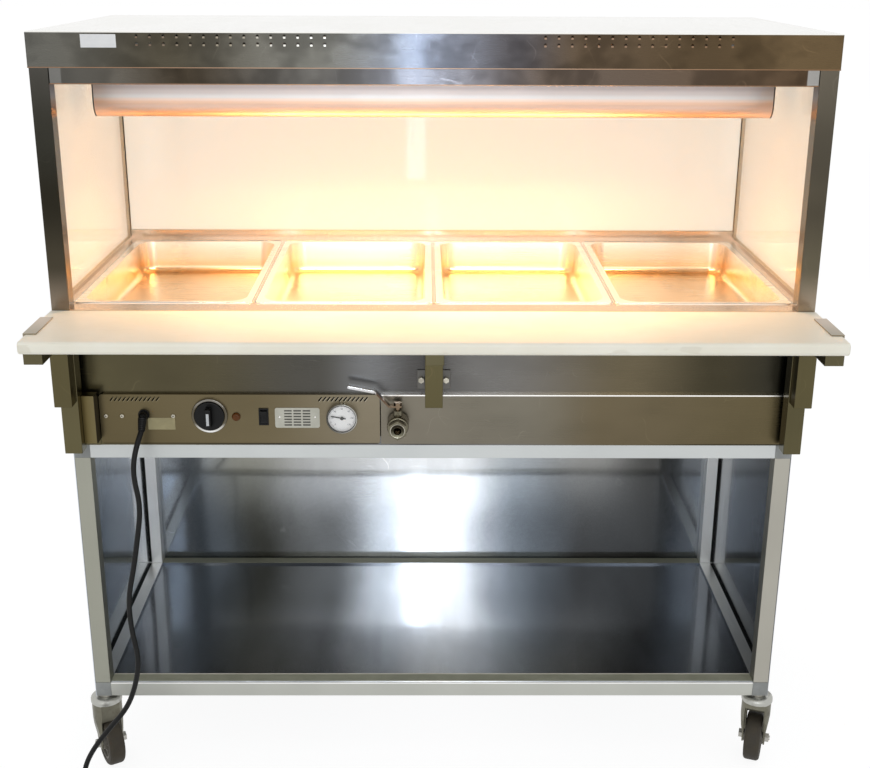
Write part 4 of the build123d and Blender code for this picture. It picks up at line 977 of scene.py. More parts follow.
        "lever": SheetSteel(
            "lever_steel", Sweep(X, (
                (-0.16, 214, 214, 216), (-0.108, 200, 198, 196), (-0.104, 92, 72, 58),
                (-0.06, 130, 112, 92))),
            Way.ACROSS, rough=0.2, contrast=0.1, grain=0.2, scratch=0.1),
        # Bright ring: near white up to 0.79 m, where the rivets sit, as a painted glint; the pan
        # beads higher up are bright metal.
        "bright": SheetSteel(
            "bright_ring", Sweep(Z, (
                (0.7, 252, 252, 250), (0.79, 252, 252, 250), (0.9, 203, 203, 201),
                (1.4, 214, 214, 212))),
            Way.ACROSS, rough=0.16, contrast=0.1, grain=0.2, scratch=0.1),
        # Dial case: dark at the left and pale at the right, painted reflection on the chrome case.
        "dial_case": SheetSteel(
            "dial_case_steel",
            Sweep(X, ((-0.2, 84, 82, 76), (-0.16, 150, 148, 142), (-0.14, 170, 168, 162))),
            Way.UPRIGHT, rough=0.2, contrast=0.1, grain=0.2, scratch=0.1),
        "lip": SheetSteel(
            "lip_steel", Sweep(X, ((-0.62, 140, 130, 104), (-0.1, 176, 168, 148))), Way.UPRIGHT,
            rough=0.3, contrast=0.1),
        "nickel": CastZinc(
            "nickel_ring", (146, 141, 127), (200, 195, 182), (80, 70, 52), rough=0.24, stained=0.3),
        "connector": Moulding("connector_nylon", (132, 134, 132), (160, 162, 160), rough=0.5),
        "tyre": Moulding(
            "tyre_rubber", (43, 38, 29), (67, 60, 47), rough=0.7, skin=300.0, depth=0.0002),
        "hub": Moulding("hub_plastic", (84, 80, 72), (118, 112, 102), rough=0.5, skin=240.0),
        "black": Moulding(
            "black_plastic", (9, 9, 9), (18, 18, 17), rough=0.3, skin=700.0, depth=0.00002,
            gloss=0.2),
        "lead": Moulding(
            "lead_rubber", (10, 10, 10), (21, 21, 20), rough=0.5, skin=900.0, depth=0.00003,
            gloss=0.25),
        "amber": Moulding(
            "amber_lens", (82, 46, 14), (108, 62, 20), rough=0.2, skin=300.0, depth=0.00001,
            coat=0.1, gloss=0.15),
        "dark": Moulding("dark_enamel", (32, 31, 30), (52, 50, 47), rough=0.4),
        "face": Moulding(
            "dial_white", (252, 250, 248), (255, 254, 252), rough=0.5, skin=800.0, depth=0.00001),
        "plate": Moulding(
            "plate_silver", (186, 184, 170), (204, 202, 190), rough=0.38, skin=900.0,
            depth=0.00001),
        "label": Moulding(
            "label_cream", (148, 138, 102), (168, 158, 120), rough=0.6, skin=900.0, depth=0.00001),
        "pointer": Moulding("pointer_grey", (190, 192, 194), (214, 216, 218), rough=0.4),
        "ink": Moulding(
            "dial_ink", (104, 106, 110), (128, 130, 134), rough=0.6, skin=900.0, depth=0.00001),
        # Hems: warm pale tones, palest in the middle, a warm painted highlight along the folded
        # edges.
        "hem": SheetSteel(
            "hem_steel",
            Sweep(X, ((-0.68, 146, 114, 90), (0.0, 176, 150, 130), (0.68, 150, 116, 88))),
            Way.ACROSS, rough=0.24, contrast=0.15, grain=0.2, scratch=0.1),
        "board": ChoppingPlastic("board_white", (236, 231, 214), (243, 239, 225), (196, 188, 168)),
        # Back glass: the warm film is painted lamp light that stands in for the lit wall seen
        # through the pane.
        "back_glass": PaneGlass("pane_glass", film=(1.0, 0.90, 0.70), share=0.28),
        "lens": PaneGlass("dial_window", film=WHITE, share=0.02, clear=WHITE),
        "quartz": GlowingQuartz("quartz_glow"),
    }

    def __init__(self) -> None:
        """Build every material."""
        self.made = {key: recipe.make() for key, recipe in self.RECIPES.items()}

    def __getattr__(self, key: str) -> bpy.types.Material:
        """The material of one recipe."""
        return self.made[key]


class Maker:
    """Makes meshes in place and hands them to the frame."""

    WELD: ClassVar[float] = 1e-6
    POINT: ClassVar[float] = 1e-7

    @staticmethod
    def piece(name: str, form: bmesh.types.BMesh, finish: bpy.types.Material, body: str, slot: str,
              smooth: float = SMOOTH) -> bpy.types.Object:
        """Turn a worked mesh into a piece that rides on a body.

        Args:
            name: The piece's name.
            form: The mesh, in place.
            finish: Its material.
            body: The body that it rides on.
            slot: The record's material slot.
            smooth: Edges flatter than this many degrees look smooth.

        Returns:
            The object.
        """
        bmesh.ops.remove_doubles(form, verts=form.verts, dist=Maker.WELD)
        bmesh.ops.recalc_face_normals(form, faces=form.faces)
        for face in form.faces:
            face.smooth = True
        limit = math.radians(smooth)
        for edge in form.edges:
            edge.smooth = len(edge.link_faces) == 2 and edge.calc_face_angle(0.0) < limit
        mesh = bpy.data.meshes.new(name)
        form.to_mesh(mesh)
        form.free()
        mesh.materials.append(finish)
        return Maker.own(bpy.data.objects.new(name, mesh), body, slot)

    @staticmethod
    def own(piece: bpy.types.Object, body: str, slot: str) -> bpy.types.Object:
        """Link a piece and seat it on a body.

        Args:
            piece: The piece.
            body: The body that it rides on.
            slot: The record's material slot; not used.

        Returns:
            The piece.
        """
        bpy.context.scene.collection.objects.link(piece)
        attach(piece, body)
        LOG.info("piece %s on %s", piece.name, body)
        return piece

    @staticmethod
    def turned(name: str, profile: Profile, origin: Sequence[float], axis: Vector,
               finish: bpy.types.Material, slot: str, steps: int = 64,
               body: str = BAR) -> bpy.types.Object:
        """Spin a closed profile about an axis into a piece.

        Args:
            name: The piece's name.
            profile: Pairs of radius and distance along the axis.
            origin: Where the axis starts.
            axis: The axis.
            finish: The piece's material.
            slot: The record's material slot.
            steps: Faces round the axis.
            body: The body that it rides on.

        Returns:
            The piece.
        """
        form = bmesh.new()
        turn = Vector((0, 0, 1)).rotation_difference(axis).to_matrix().to_4x4()
        where = Matrix.Translation(origin) @ turn
        rings = []
        for i in range(steps):
            a = 2 * math.pi * i / steps
            spots = [where @ Vector((r * math.cos(a), r * math.sin(a), h)) for r, h in profile]
            rings.append([form.verts.new(spot) for spot in spots])
        for near, far in zip(rings, rings[1:] + rings[:1]):
            for j in range(len(profile)):
                k = (j + 1) % len(profile)
                if max(profile[j][0], profile[k][0]) >= Maker.POINT:
                    form.faces.new((near[j], far[j], far[k], near[k]))
        bmesh.ops.remove_doubles(form, verts=form.verts, dist=Maker.POINT)
        bmesh.ops.dissolve_degenerate(form, dist=Maker.POINT, edges=form.edges)
        return Maker.piece(name, form, finish, body, slot)

    @staticmethod
    def slab(size: Sequence[float], centre: Sequence[float], edge: float = 0.0,
             segments: int = 1) -> bmesh.types.BMesh:
        """A box with rounded edges.

        Args:
            size: Its size along X, Y and Z.
            centre: Its middle.
            edge: Radius of its edges.
            segments: Faces across a rounded edge.

        Returns:
            The mesh.
        """
        form = bmesh.new()
        bmesh.ops.create_cube(form, size=1.0)
        bmesh.ops.scale(form, vec=Vector(size), verts=form.verts)
        bmesh.ops.bevel(
            form, geom=form.edges[:], offset=edge, segments=segments, profile=0.5, affect="EDGES")
        bmesh.ops.translate(form, vec=Vector(centre), verts=form.verts)
        return form

    @staticmethod
    def rounded(half_x: float, half_y: float, radius: float, steps: int) -> Profile:
        """Points round a rectangle with round corners.

        Args:
            half_x: From its middle to the centres of its corners, along its first axis.
            half_y: The same along its second axis.
            radius: Radius of its corners.
            steps: Steps round one corner.

        Returns:
            The points, about its middle.
        """
        made = []
        for side_x, side_y, start in ((1, 1, 0), (-1, 1, 90), (-1, -1, 180), (1, -1, 270)):
            for i in range(steps + 1):
                a = math.radians(start + 90 * i / steps)
                made.append((
                    side_x * half_x + radius * math.cos(a), side_y * half_y + radius * math.sin(a)))
        return made

    @staticmethod
    def plate(width: float, height: float, thick: float, radius: float,
              centre: Sequence[float]) -> bmesh.types.BMesh:
        """A thin upright plate that faces the front, with round corners.

        Args:
            width: Size along X.
            height: Size along Z.
            thick: Size along Y.
            radius: Radius of its corners.
            centre: The middle of its back.

        Returns:
            The mesh.
        """
        form = bmesh.new()
        x, y, z = centre
        outline = Maker.rounded(width / 2 - radius, height / 2 - radius, radius, CORNER_STEPS)
        face = form.faces.new([form.verts.new((x + px, y, z + pz)) for px, pz in outline])
        made = bmesh.ops.extrude_face_region(form, geom=[face])
        moved = [v for v in made["geom"] if isinstance(v, bmesh.types.BMVert)]
        bmesh.ops.translate(form, vec=FORWARD * thick, verts=moved)
        return form


class Pattern(Graph):
    """A Geometry Nodes tree that repeats one small form on points that carry a turn."""

    def __init__(self, name: str) -> None:
        """Start the tree with its geometry sockets.

        Args:
            name: Name of the tree and of its piece.
        """
        self.name = name
        self.group = bpy.data.node_groups.new(name, "GeometryNodeTree")
        super().__init__(self.group)
        for way in ("INPUT", "OUTPUT"):
            self.socket("Geometry", way, "Geometry")
        self.start = self.add("NodeGroupInput")
        self.sizes: dict[str, float] = {}

    def socket(self, name: str, way: str, kind: str) -> None:
        """Give the tree one socket."""
        self.group.interface.new_socket(name, in_out=way, socket_type=f"NodeSocket{kind}")

    def size(self, name: str, value: float) -> Sig:
        """Add a named size to the tree's inputs.

        Args:
            name: The size's name.
            value: Its value in metres.

        Returns:
            The signal inside the tree.
        """
        self.socket(name, "INPUT", "Float")
        self.sizes[name] = value
        return self.start.other(name)

    def box(self, *sizes: Sig) -> Sig:
        """A box with three of the tree's sizes along X, Y and Z."""
        size = self.add("ShaderNodeCombineXYZ", None, dict(enumerate(sizes)))
        return self.add("GeometryNodeMeshCube", None, {"Size": size}, "Mesh")

    @classmethod
    def boxes(cls, name: str, labels: str, sizes: Sequence[float], places: Places,
              finish: bpy.types.Material, slot: str, body: str = BAR,
              turns: Places = ()) -> bpy.types.Object:
        """Set a small box at every place.

        Args:
            name: The piece's name.
            labels: Names of its sizes along X, Y and Z.
            sizes: The sizes in metres.
            places: Points in the frame.
            finish: The material.
            slot: The record's material slot.
            body: The body that the piece rides on.
            turns: Euler turns, one for each point, or none.

        Returns:
            The piece.
        """
        pattern = cls(name)
        form = pattern.box(*map(pattern.size, labels.split(), sizes))
        return pattern.spread(form, places, finish, slot, body, turns)

    def spread(self, form: Sig, places: Places, finish: bpy.types.Material, slot: str,
               body: str = BAR, turns: Places = (), smooth: float = SMOOTH) -> bpy.types.Object:
        """Set the form at every place and make the result a plain mesh.

        Args:
            form: The small form's geometry.
            places: Points in the frame.
            finish: The material.
            slot: The record's material slot.
            body: The body that the piece rides on.
            turns: Euler turns, one for each point, or none.
            smooth: Edges flatter than this many degrees look smooth.

        Returns:
            The piece.
        """
        turn = self.add(
            "GeometryNodeInputNamedAttribute", {"data_type": "FLOAT_VECTOR"}, {"Name": "turn"})
        as_turn = self.add("FunctionNodeEulerToRotation", None, {0: turn})
        points = self.start.other("Geometry")
        sockets = {"Points": points, "Instance": form, "Rotation": as_turn}
        on = self.add("GeometryNodeInstanceOnPoints", None, sockets)
        real = self.add("GeometryNodeRealizeInstances", None, {0: on})
        sockets = {"Geometry": real, "Material": finish}
        self.add("NodeGroupOutput", None, {0: self.add("GeometryNodeSetMaterial", None, sockets)})
        mesh = bpy.data.meshes.new(self.name + "_points")
        mesh.from_pydata([tuple(p) for p in places], [], [])
        data = mesh.attributes.new("turn", "FLOAT_VECTOR", "POINT")
        for item, value in zip(data.data, turns):
            item.vector = value
        carrier = bpy.data.objects.new(self.name + "_carrier", mesh)
        bpy.context.scene.collection.objects.link(carrier)
        modifier = carrier.modifiers.new("pattern", "NODES")
        modifier.node_group = self.group
        for item in self.group.interface.items_tree:
            if item.in_out == "INPUT" and item.name in self.sizes:
                modifier[item.identifier] = self.sizes[item.name]
        worked = bmesh.new()
        plain_mesh(carrier, worked)
        return Maker.piece(self.name, worked, finish, body, slot, smooth)


def plain_mesh(carrier: bpy.types.Object, form: bmesh.types.BMesh,
               where: Matrix = Matrix.Identity(4)) -> None:
    """Add what an object evaluates to into a mesh, and remove the object.

    Args:
        carrier: The object.
        form: The mesh that takes it.
        where: Where it goes.
    """
    graph = bpy.context.evaluated_depsgraph_get()
    made = bpy.data.meshes.new_from_object(carrier.evaluated_get(graph))
    made.transform(where)
    form.from_mesh(made)
    bpy.data.objects.remove(carrier)
    bpy.data.meshes.remove(made)


WEAR: dict[str, str] = {
    "fascia": "canopy_cover", "rail": "canopy_frame", "post": "posts", "casing": "body_shell",
    "cover": "wiring_cover", "lower": "lower_front_panel", "control": "control_panel",
    "bracket": "board_brackets", "clip": "board_clips", "polished": "stand_back_panel",
    "side_sheet": "stand_side_panels", "shelf": "stand_shelf", "pan": "pan_1 pan_4",
    "inner_pan": "pan_2 pan_3", "deck": "well_tank pan_bars glass_sills",
    "leg_tube": "stand_legs", "rail_tube": "stand_rails", "connector": "corner_connectors",
    "lamp": "lamp_housing", "quartz": "quartz_tubes", "back_glass": "glass_panes",
    "dark": "lamp_end_caps heating_element thermostat thermometer_needle",
    "screw": "panel_screws", "bolt": "caster_stems", "valve": "valve_body drain_pipe",
    "lever": "valve_lever valve_ball", "bezel": "knob_bezel", "dial_case": "thermometer_case",
    "amber": "indicator_lamp", "lens": "thermometer_glass", "board": "cutting_board",
    "black": "rocker_frame rocker cable_gland thermostat_knob cord_tie plug"}
CASTER_WEAR: dict[str, str] = {"zinc": "fork", "bolt": "axle", "tyre": "wheel"}
ROUNDED: tuple[str, ...] = (
    "posts", "stand_legs", "stand_rails", "corner_connectors", "board_brackets", "canopy_frame")


@dataclass(frozen=True)
class Dresser:
    """Puts a finish on every CAD node that stays in view, and rounds folded and drawn edges.

    Attributes:
        nodes: The CAD nodes by name.
        finishes: The finishes.
        edge: Width of a rounded edge in metres.
        faces: Faces across it.
        sharp: Edges sharper than this many degrees are rounded.
    """

    nodes: dict[str, bpy.types.Object]
    finishes: Finishes
    edge: float = 0.0012
    faces: int = 2
    sharp: float = 50.0

    def dress_all(self) -> None:
        """Give every node its finish and round the edges that catch the light."""
        worn = [(key, name) for key, names in WEAR.items() for name in names.split()]
        for corner in CORNERS:
            worn += [(key, f"caster_{part}_{corner}") for key, part in CASTER_WEAR.items()]
        for key, name in worn:
            self.dress(self.nodes[name], getattr(self.finishes, key))
        for name in ROUNDED:
            self.soften(self.nodes[name])

    @staticmethod
    def dress(node: bpy.types.Object, finish: bpy.types.Material) -> None:
        """Put a finish in every slot of a node.

        Args:
            node: The node.
            finish: The finish.
        """
        if not node.material_slots:
            node.data.materials.append(finish)
        for slot in node.material_slots:
            slot.material = finish

    def soften(self, node: bpy.types.Object) -> None:
        """Weld a node and bevel its sharp edges.

        Args:
            node: The node.
        """
        weld = node.modifiers.new("weld", "WELD")
        weld.merge_threshold = Maker.WELD
        bevel = node.modifiers.new("edge", "BEVEL")
        bevel.width = self.edge
        bevel.segments = self.faces
        bevel.limit_method = "ANGLE"
        bevel.angle_limit = math.radians(self.sharp)
        bevel.harden_normals = False


@dataclass(frozen=True)
class CasterWheel:
    """One caster's wheel: a rubber tyre on a ribbed hub, between the fork's lined legs.

    Attributes:
        f: The finishes.
        corner: Which corner it stands at.
        axle: Middle of its axle.
        turn: How far the caster is turned, in degrees.
        radius: Radius of the tyre.
        half_width: Half its width.
        shoulder: Radius of its shoulders.
        shoulder_steps: Steps round a shoulder.
        core: Radius where the tyre sits on the hub's rim.
        web: Half the thickness of the hub's disc.
        boss: Radius of the hub's middle.
        boss_half: Half the length of it.
        bore: Radius of its bore.
        lip: Inner radius of the hub's rim.
        edge: Size of the hub's broken edges.
        faces: Faces round the axle.
        ribs: Ribs on each face.
        rib: Length, thickness and depth of a rib.
        rib_out: How far out its middle is.
        liner: Size of a liner in the fork.
        liner_at: Its place from the axle, on the right side.
        liner_edge: Radius of its edges.
    """

    f: Finishes
    corner: str
    axle: tuple[float, float, float]
    turn: float
    radius: float = 0.050
    half_width: float = 0.016
    shoulder: float = 0.007
    shoulder_steps: int = 6
    core: float = 0.036
    web: float = 0.0105
    boss: float = 0.0150
    boss_half: float = 0.0197
    bore: float = 0.00505
    lip: float = 0.0315
    edge: float = 0.001
    faces: int = 72
    ribs: int = 6
    rib: tuple[float, float, float] = (0.0150, 0.0028, 0.0045)
    rib_out: float = 0.0235
    liner: tuple[float, float, float] = (0.0030, 0.024, 0.0580)
    liner_at: tuple[float, float, float] = (0.0185, -0.003, 0.0490)
    liner_edge: float = 0.0004

    def axis(self) -> Vector:
        """The way of the axle."""
        a = math.radians(self.turn)
        return Vector((math.cos(a), math.sin(a), 0))

    def tyre_profile(self) -> Profile:
        """Closed outline of the tyre.

        Returns:
            Pairs of radius and distance along the axle.
        """
        arc = []
        for side in (-1, 1):
            for i in range(self.shoulder_steps + 1):
                part = 90 * i / self.shoulder_steps
                a = math.radians(part if side < 0 else 90 - part)
                r = self.radius - self.shoulder * (1 - math.sin(a))
                arc.append((r, side * (self.half_width - self.shoulder * (1 - math.cos(a)))))
        return [(self.core, -self.half_width)] + arc + [(self.core, self.half_width)]

    def hub_profile(self) -> Profile:
        """Closed outline of the hub: rim, web and boss.

        Returns:
            Pairs of radius and distance along the axle.
        """
        edge, rim_half = self.edge, self.half_width - self.edge
        half = [
            (self.bore, self.boss_half), (self.boss - edge, self.boss_half),
            (self.boss, self.boss_half - edge), (self.boss + edge, self.web),
            (self.lip - edge, self.web), (self.lip, rim_half), (self.core, rim_half)]
        return half + [(r, -h) for r, h in reversed(half)]

    def build(self) -> None:
        """Make the tyre, the hub with its ribs, and the fork's liners."""
        body, node = f"wheel_{self.corner}", f"caster_wheel_{self.corner}"
        for part, profile, finish in (
                ("tyre", self.tyre_profile(), self.f.tyre),
                ("hub", self.hub_profile(), self.f.hub)):
            piece = Maker.turned(
                f"{part}_{self.corner}", profile, self.axle, self.axis(), finish, "tyre",
                self.faces, body)
            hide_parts(node)
        self.add_ribs(body)
        self.add_liners()

    def add_ribs(self, body: str) -> None:
        """Set radial ribs on both faces of the web.

        Args:
            body: The wheel's body.
        """
        places, turns = [], []
        axis = self.axis()
        across = Vector((-axis.y, axis.x, 0))
        for side in (-1, 1):
            for i in range(self.ribs):
                a = 2 * math.pi * i / self.ribs
                out = across * math.cos(a) + Vector((0, 0, math.sin(a)))
                places.append(Vector(self.axle) + axis * side * self.web + out * self.rib_out)
                turns.append(Matrix((out, axis.cross(out), axis)).transposed().to_euler())
        Pattern.boxes(
            f"hub_ribs_{self.corner}", "Length Thickness Depth", self.rib, places, self.f.hub,
            "tyre", body, turns)

    def add_liners(self) -> None:
        """Line the inside of both fork legs above the axle."""
        x, y, z = self.liner_at
        where = Matrix.Translation(self.axle) @ Matrix.Rotation(math.radians(self.turn), 4, "Z")
        for side, name in ((-1, "a"), (1, "b")):
            form = Maker.slab(self.liner, (side * x, y, z), self.liner_edge)
            form.transform(where)
            name = f"fork_liner_{self.corner}_{name}"
            Maker.piece(name, form, self.f.zinc, f"caster_{self.corner}", "zinc")


@dataclass(frozen=True)
class Casters:
    """The four casters under the stand's legs, each turned its own way.

    Attributes:
        f: The finishes.
        leg_x: Middle of the legs on the right.
        front_y: Middle of the front legs.
        rear_y: Middle of the rear legs.
        axle_z: Height of the axles.
        trail: How far an axle is behind its swivel.
        turns: How far each caster is turned, in degrees.
    """

    f: Finishes
    leg_x: float = 0.6625
    front_y: float = POST_Y + 0.070
    rear_y: float = POST_Y + 0.600
    axle_z: float = 0.050
    trail: float = 0.008
    turns: tuple[float, ...] = (210.0, -20.0, 0.0, 0.0)

    def build(self) -> None:
        """Make every caster's wheel behind its swivel."""
        for corner, turn in zip(CORNERS, self.turns):
            x = -self.leg_x if corner.endswith("left") else self.leg_x
            y = self.front_y if corner.startswith("front") else self.rear_y
            a = math.radians(turn)
            axle = (x - self.trail * math.sin(a), y + self.trail * math.cos(a), self.axle_z)
            CasterWheel(self.f, corner, axle, turn).build()


@dataclass(frozen=True)
class Dial:
    """The thermometer's face, gasket, scale and needle cap, from its front edge inwards.

    Attributes:
        f: The finishes.
        x: Middle of the dial.
        front: Front edge of its case.
        face_in: How far the face lies behind that edge.
        cap_out: How far the cap starts in front of the face.
        gasket_in: How far the gasket lies behind the edge.
        tick_in: The same of the ticks.
        number_in: The same of the numbers.
        disc: Profile of the face, radius and height.
        gasket: Profile of the dark ring under the window.
        cap: Profile of the needle's cap.
        scale: Name, steps, width and length of each ring of ticks.
        tick_end: Radius where ticks end.
        sweep: The scale's first angle and how far it goes, in degrees.
        numbers: How many numbers there are and the step between them.
        number_size: Height of their type.
        number_half: Half their thickness.
        number_ring: Radius of the ring that they stand on.
    """

    f: Finishes
    x: float = CONTROL_X + 0.450
    front: float = LOWER_Y - 0.014
    face_in: float = 0.007
    cap_out: float = 0.0026
    gasket_in: float = 0.0009
    tick_in: float = 0.0065
    number_in: float = 0.0064
    disc: Profile = ((0.0013, 0.0), (0.0264, 0.0), (0.0264, 0.0004), (0.0013, 0.0004))
    gasket: Profile = ((0.0254, 0.0), (0.02645, 0.0), (0.02645, 0.0005), (0.0254, 0.0005))
    cap: Profile = (
        (0.0, 0.0), (0.0034, 0.0), (0.0034, 0.0008), (0.0026, 0.0012), (0.0, 0.0012))
    cap_faces: int = 32
    scale: tuple[tuple[str, int, float, float], ...] = (
        ("dial_ticks", 60, 0.0003, 0.0015), ("dial_marks", 12, 0.0006, 0.0026))
    tick_thick: float = 0.0002
    tick_end: float = 0.0238
    sweep: tuple[float, float] = (225, 270)
    numbers: tuple[int, int] = (7, 20)
    number_size: float = 0.0042
    number_half: float = 0.0001
    number_ring: float = 0.0180

    def build(self) -> None:
        """Make the face with its scale, the gasket and the cap."""
        face, seat, cap = (
            (self.x, self.front + depth, CONTROL_Z)
            for depth in (self.face_in, self.gasket_in, self.face_in - self.cap_out))
        Maker.turned("dial_face", self.disc, face, FORWARD, self.f.face, "board")
        Maker.turned("dial_gasket", self.gasket, seat, FORWARD, self.f.dark, "dark_metal")
        Maker.turned(
            "needle_cap", self.cap, cap, FORWARD, self.f.dark, "dark_metal", self.cap_faces,
            "needle")
        for ring in self.scale:
            self.ticks(*ring)
        self.print_numbers()

    def spot(self, share: float, radius: float, depth: float) -> tuple[Vector, float]:
        """A point on the scale, and its angle.

        Args:
            share: How far along the scale.
            radius: How far from the middle.
            depth: How far behind the front edge.

        Returns:
            The point, and its angle in radians.
        """
        start, span = self.sweep
        a = math.radians(start - span * share)
        x, z = self.x + radius * math.cos(a), CONTROL_Z + radius * math.sin(a)
        return Vector((x, self.front + depth, z)), a

    def ticks(self, name: str, steps: int, width: float, length: float) -> None:
        """One ring of ticks.

        Args:
            name: The piece's name.
            steps: Number of ticks less one.
            width: Width of a tick.
            length: Length of a tick.
        """
        radius = self.tick_end - length / 2
        spots = [self.spot(i / steps, radius, self.tick_in) for i in range(steps + 1)]
        places, angles = zip(*spots)
        Pattern.boxes(
            name, "Width Thickness Length", (width, self.tick_thick, length), places, self.f.ink,
            "dark_metal", turns=[(0, math.pi / 2 - a, 0) for a in angles])

    def print_numbers(self) -> None:
        """Plain numbers round the scale, as one mesh."""
        form = bmesh.new()
        count, step = self.numbers
        for i in range(count):
            curve = bpy.data.curves.new("number", "FONT")
            curve.body = str(step * i)
            curve.size = self.number_size
            curve.align_x, curve.align_y = "CENTER", "CENTER"
            curve.extrude = self.number_half
            text = bpy.data.objects.new("number", curve)
            bpy.context.scene.collection.objects.link(text)
            place, _ = self.spot(i / (count - 1), self.number_ring, self.number_in)
            upright = Matrix.Rotation(math.pi / 2, 4, "X")
            plain_mesh(text, form, Matrix.Translation(place) @ upright)
        Maker.piece("dial_numbers", form, self.f.ink, BAR, "dark_metal")


@dataclass(frozen=True)
class Controls:
    """What the control panel carries: pointer, plates, rivets, louvre lips, dark screw crosses and
    boot.

    Attributes:
        f: The finishes.
        pointer: Size of the knob's pale inlay.
        pointer_at: Its middle.
        rating: Middle along X and Z, width and height of the rating plate.
        rating_form: Its thickness and the radius of its corners.
        label: The same as `rating` for the blank label.
        label_form: The same as `rating_form` for it.
        rivet_faces: Faces round a rivet's head and over it.
        field: Length, depth and height of a plain bar on the plate.
        field_pitch: From one column to the next, and from one row to the next.
        field_grid: Number of columns and of rows.
        louvres: Middles of the two rows of slots.
        slant: How far a slot leans, in degrees.
        lip: Width, depth and height of a slot's bright lip.
        lip_aside: How far it stands beside the slot's middle.
        recess: Length, width and depth of a screw's cross.
        recess_turns: Turn of the first cross, and of each next one, in radians.
        boot: Radius of the boot at its start, its taper and the height of its ribs.
        boot_span: Where it starts along the sleeve, and its length.
        boot_bore: Radius of its bore.
    """

    f: Finishes
    pointer: tuple[float, float, float] = (0.0050, 0.0006, 0.0232)
    pointer_at: tuple[float, float, float] = (CONTROL_X + 0.204, LOWER_Y - 0.0279, 0.765)
    pointer_edge: float = 0.0002
    rating: tuple[float, float, float, float] = (-0.2535, 0.7597, 0.083, 0.0392)
    rating_form: tuple[float, float] = (0.0008, 0.004)
    label: tuple[float, float, float, float] = (-0.5065, 0.7476, 0.0505, 0.0232)
    label_form: tuple[float, float] = (0.0003, 0.0008)
    rivet_xs: tuple[float, float] = (-0.2863, -0.2203)
    rivet_z: float = 0.7620
    rivet_radius: float = 0.0021
    rivet_faces: tuple[int, int] = (16, 8)
    field: tuple[float, float, float] = (0.0140, 0.0002, 0.0027)
    field_pitch: tuple[float, float] = (0.0172, 0.0056)
    field_grid: tuple[int, int] = (3, 6)
    field_y: float = LOWER_Y - 0.0009
    louvres: tuple[float, float] = (CONTROL_X + 0.0665, CONTROL_X + 0.452)
    louvre_z: float = 0.7965
    louvre_count: int = 12
    louvre_pitch: float = 0.0077
    slant: float = 38.0
    lip: tuple[float, float, float] = (0.0009, 0.0012, 0.0098)
    lip_aside: float = 0.0013 + 0.00045
    lip_y: float = LOWER_Y - 0.0004
    screw_xs: tuple[float, ...] = (-0.609, -0.579, -0.484)
    screw_z: float = 0.763
    screw_y: float = LOWER_Y - 0.00255
    recess: tuple[float, float, float] = (0.0044, 0.0010, 0.0002)
    recess_turns: tuple[float, float] = (0.4, 0.7)
    boot: tuple[float, float, float] = (0.0081, 0.0020, 0.0006)
    boot_span: tuple[float, float] = (0.004, 0.0238)
    boot_ribs: int = 14
    boot_bore: float = 0.0052
    boot_faces: int = 40

    def build(self) -> None:
        """Make every small fitting of the panel."""
        inlay = Maker.slab(self.pointer, self.pointer_at, self.pointer_edge)
        Maker.piece("knob_pointer", inlay, self.f.pointer, "knob", "bright")
        Dial(self.f).build()
        for name, (x, z, wide, high), form, finish, slot in (
                ("rating_plate", self.rating, self.rating_form, self.f.plate, "bright"),
                ("blank_label", self.label, self.label_form, self.f.label, "board")):
            Maker.piece(name, Maker.plate(wide, high, *form, (x, LOWER_Y, z)), finish, BAR, slot)
        self.fields()
        self.rivets()
        self.lips()
        self.recesses()
        self.add_boot()

    def fields(self) -> None:
        """Plain dark bars in columns and rows on the rating plate."""
        across, down = zip(self.rating, self.field_grid, self.field_pitch)
        places = [(x, self.field_y, z) for x in row(*across) for z in row(*down)]
        Pattern.boxes(
            "plate_fields", "Length Depth Height", self.field, places, self.f.print, "dark_metal")

    def rivets(self) -> None:
        """A round head at each end of the rating plate."""
        pattern = Pattern("plate_rivets")
        segments, rings = self.rivet_faces
        radius = pattern.size("Radius", self.rivet_radius)
        sockets = {"Segments": segments, "Rings": rings, "Radius": radius}
        ball = pattern.add("GeometryNodeMeshUVSphere", None, sockets, "Mesh")
        places = [(x, LOWER_Y - self.rating_form[0], self.rivet_z) for x in self.rivet_xs]
        # Their finish is near white at this height, a painted glint.
        pattern.spread(ball, places, self.f.bright, "bright", smooth=ROUND_SMOOTH)

    def lips(self) -> None:
        """A thin bright lip along one side of every louvre slot."""
        a = math.radians(self.slant)
        aside, z = self.lip_aside * math.cos(a), self.louvre_z - self.lip_aside * math.sin(a)
        places = [
            (x + aside, self.lip_y, z) for middle in self.louvres
            for x in row(middle, self.louvre_count, self.louvre_pitch)]
        Pattern.boxes(
            "louvre_lips", "Width Depth Height", self.lip, places, self.f.lip, "stainless",
            turns=[(0, a, 0)] * len(places))

    def recesses(self) -> None:
        """Dark crosses on the panel screws: painted shade that stands in for their cross recesses.
        """
        pattern = Pattern("screw_recesses")
        length, width, depth = map(pattern.size, ("Length", "Width", "Depth"), self.recess)
        bars = [pattern.box(length, depth, width), pattern.box(width, depth, length)]
        cross = pattern.add("GeometryNodeJoinGeometry", None, {0: bars})
        places = [(x, self.screw_y, self.screw_z) for x in self.screw_xs]
        first, each = self.recess_turns
        turns = [(0, first + each * i, 0) for i in range(len(places))]
        pattern.spread(cross, places, self.f.dark, "dark_metal", turns=turns)

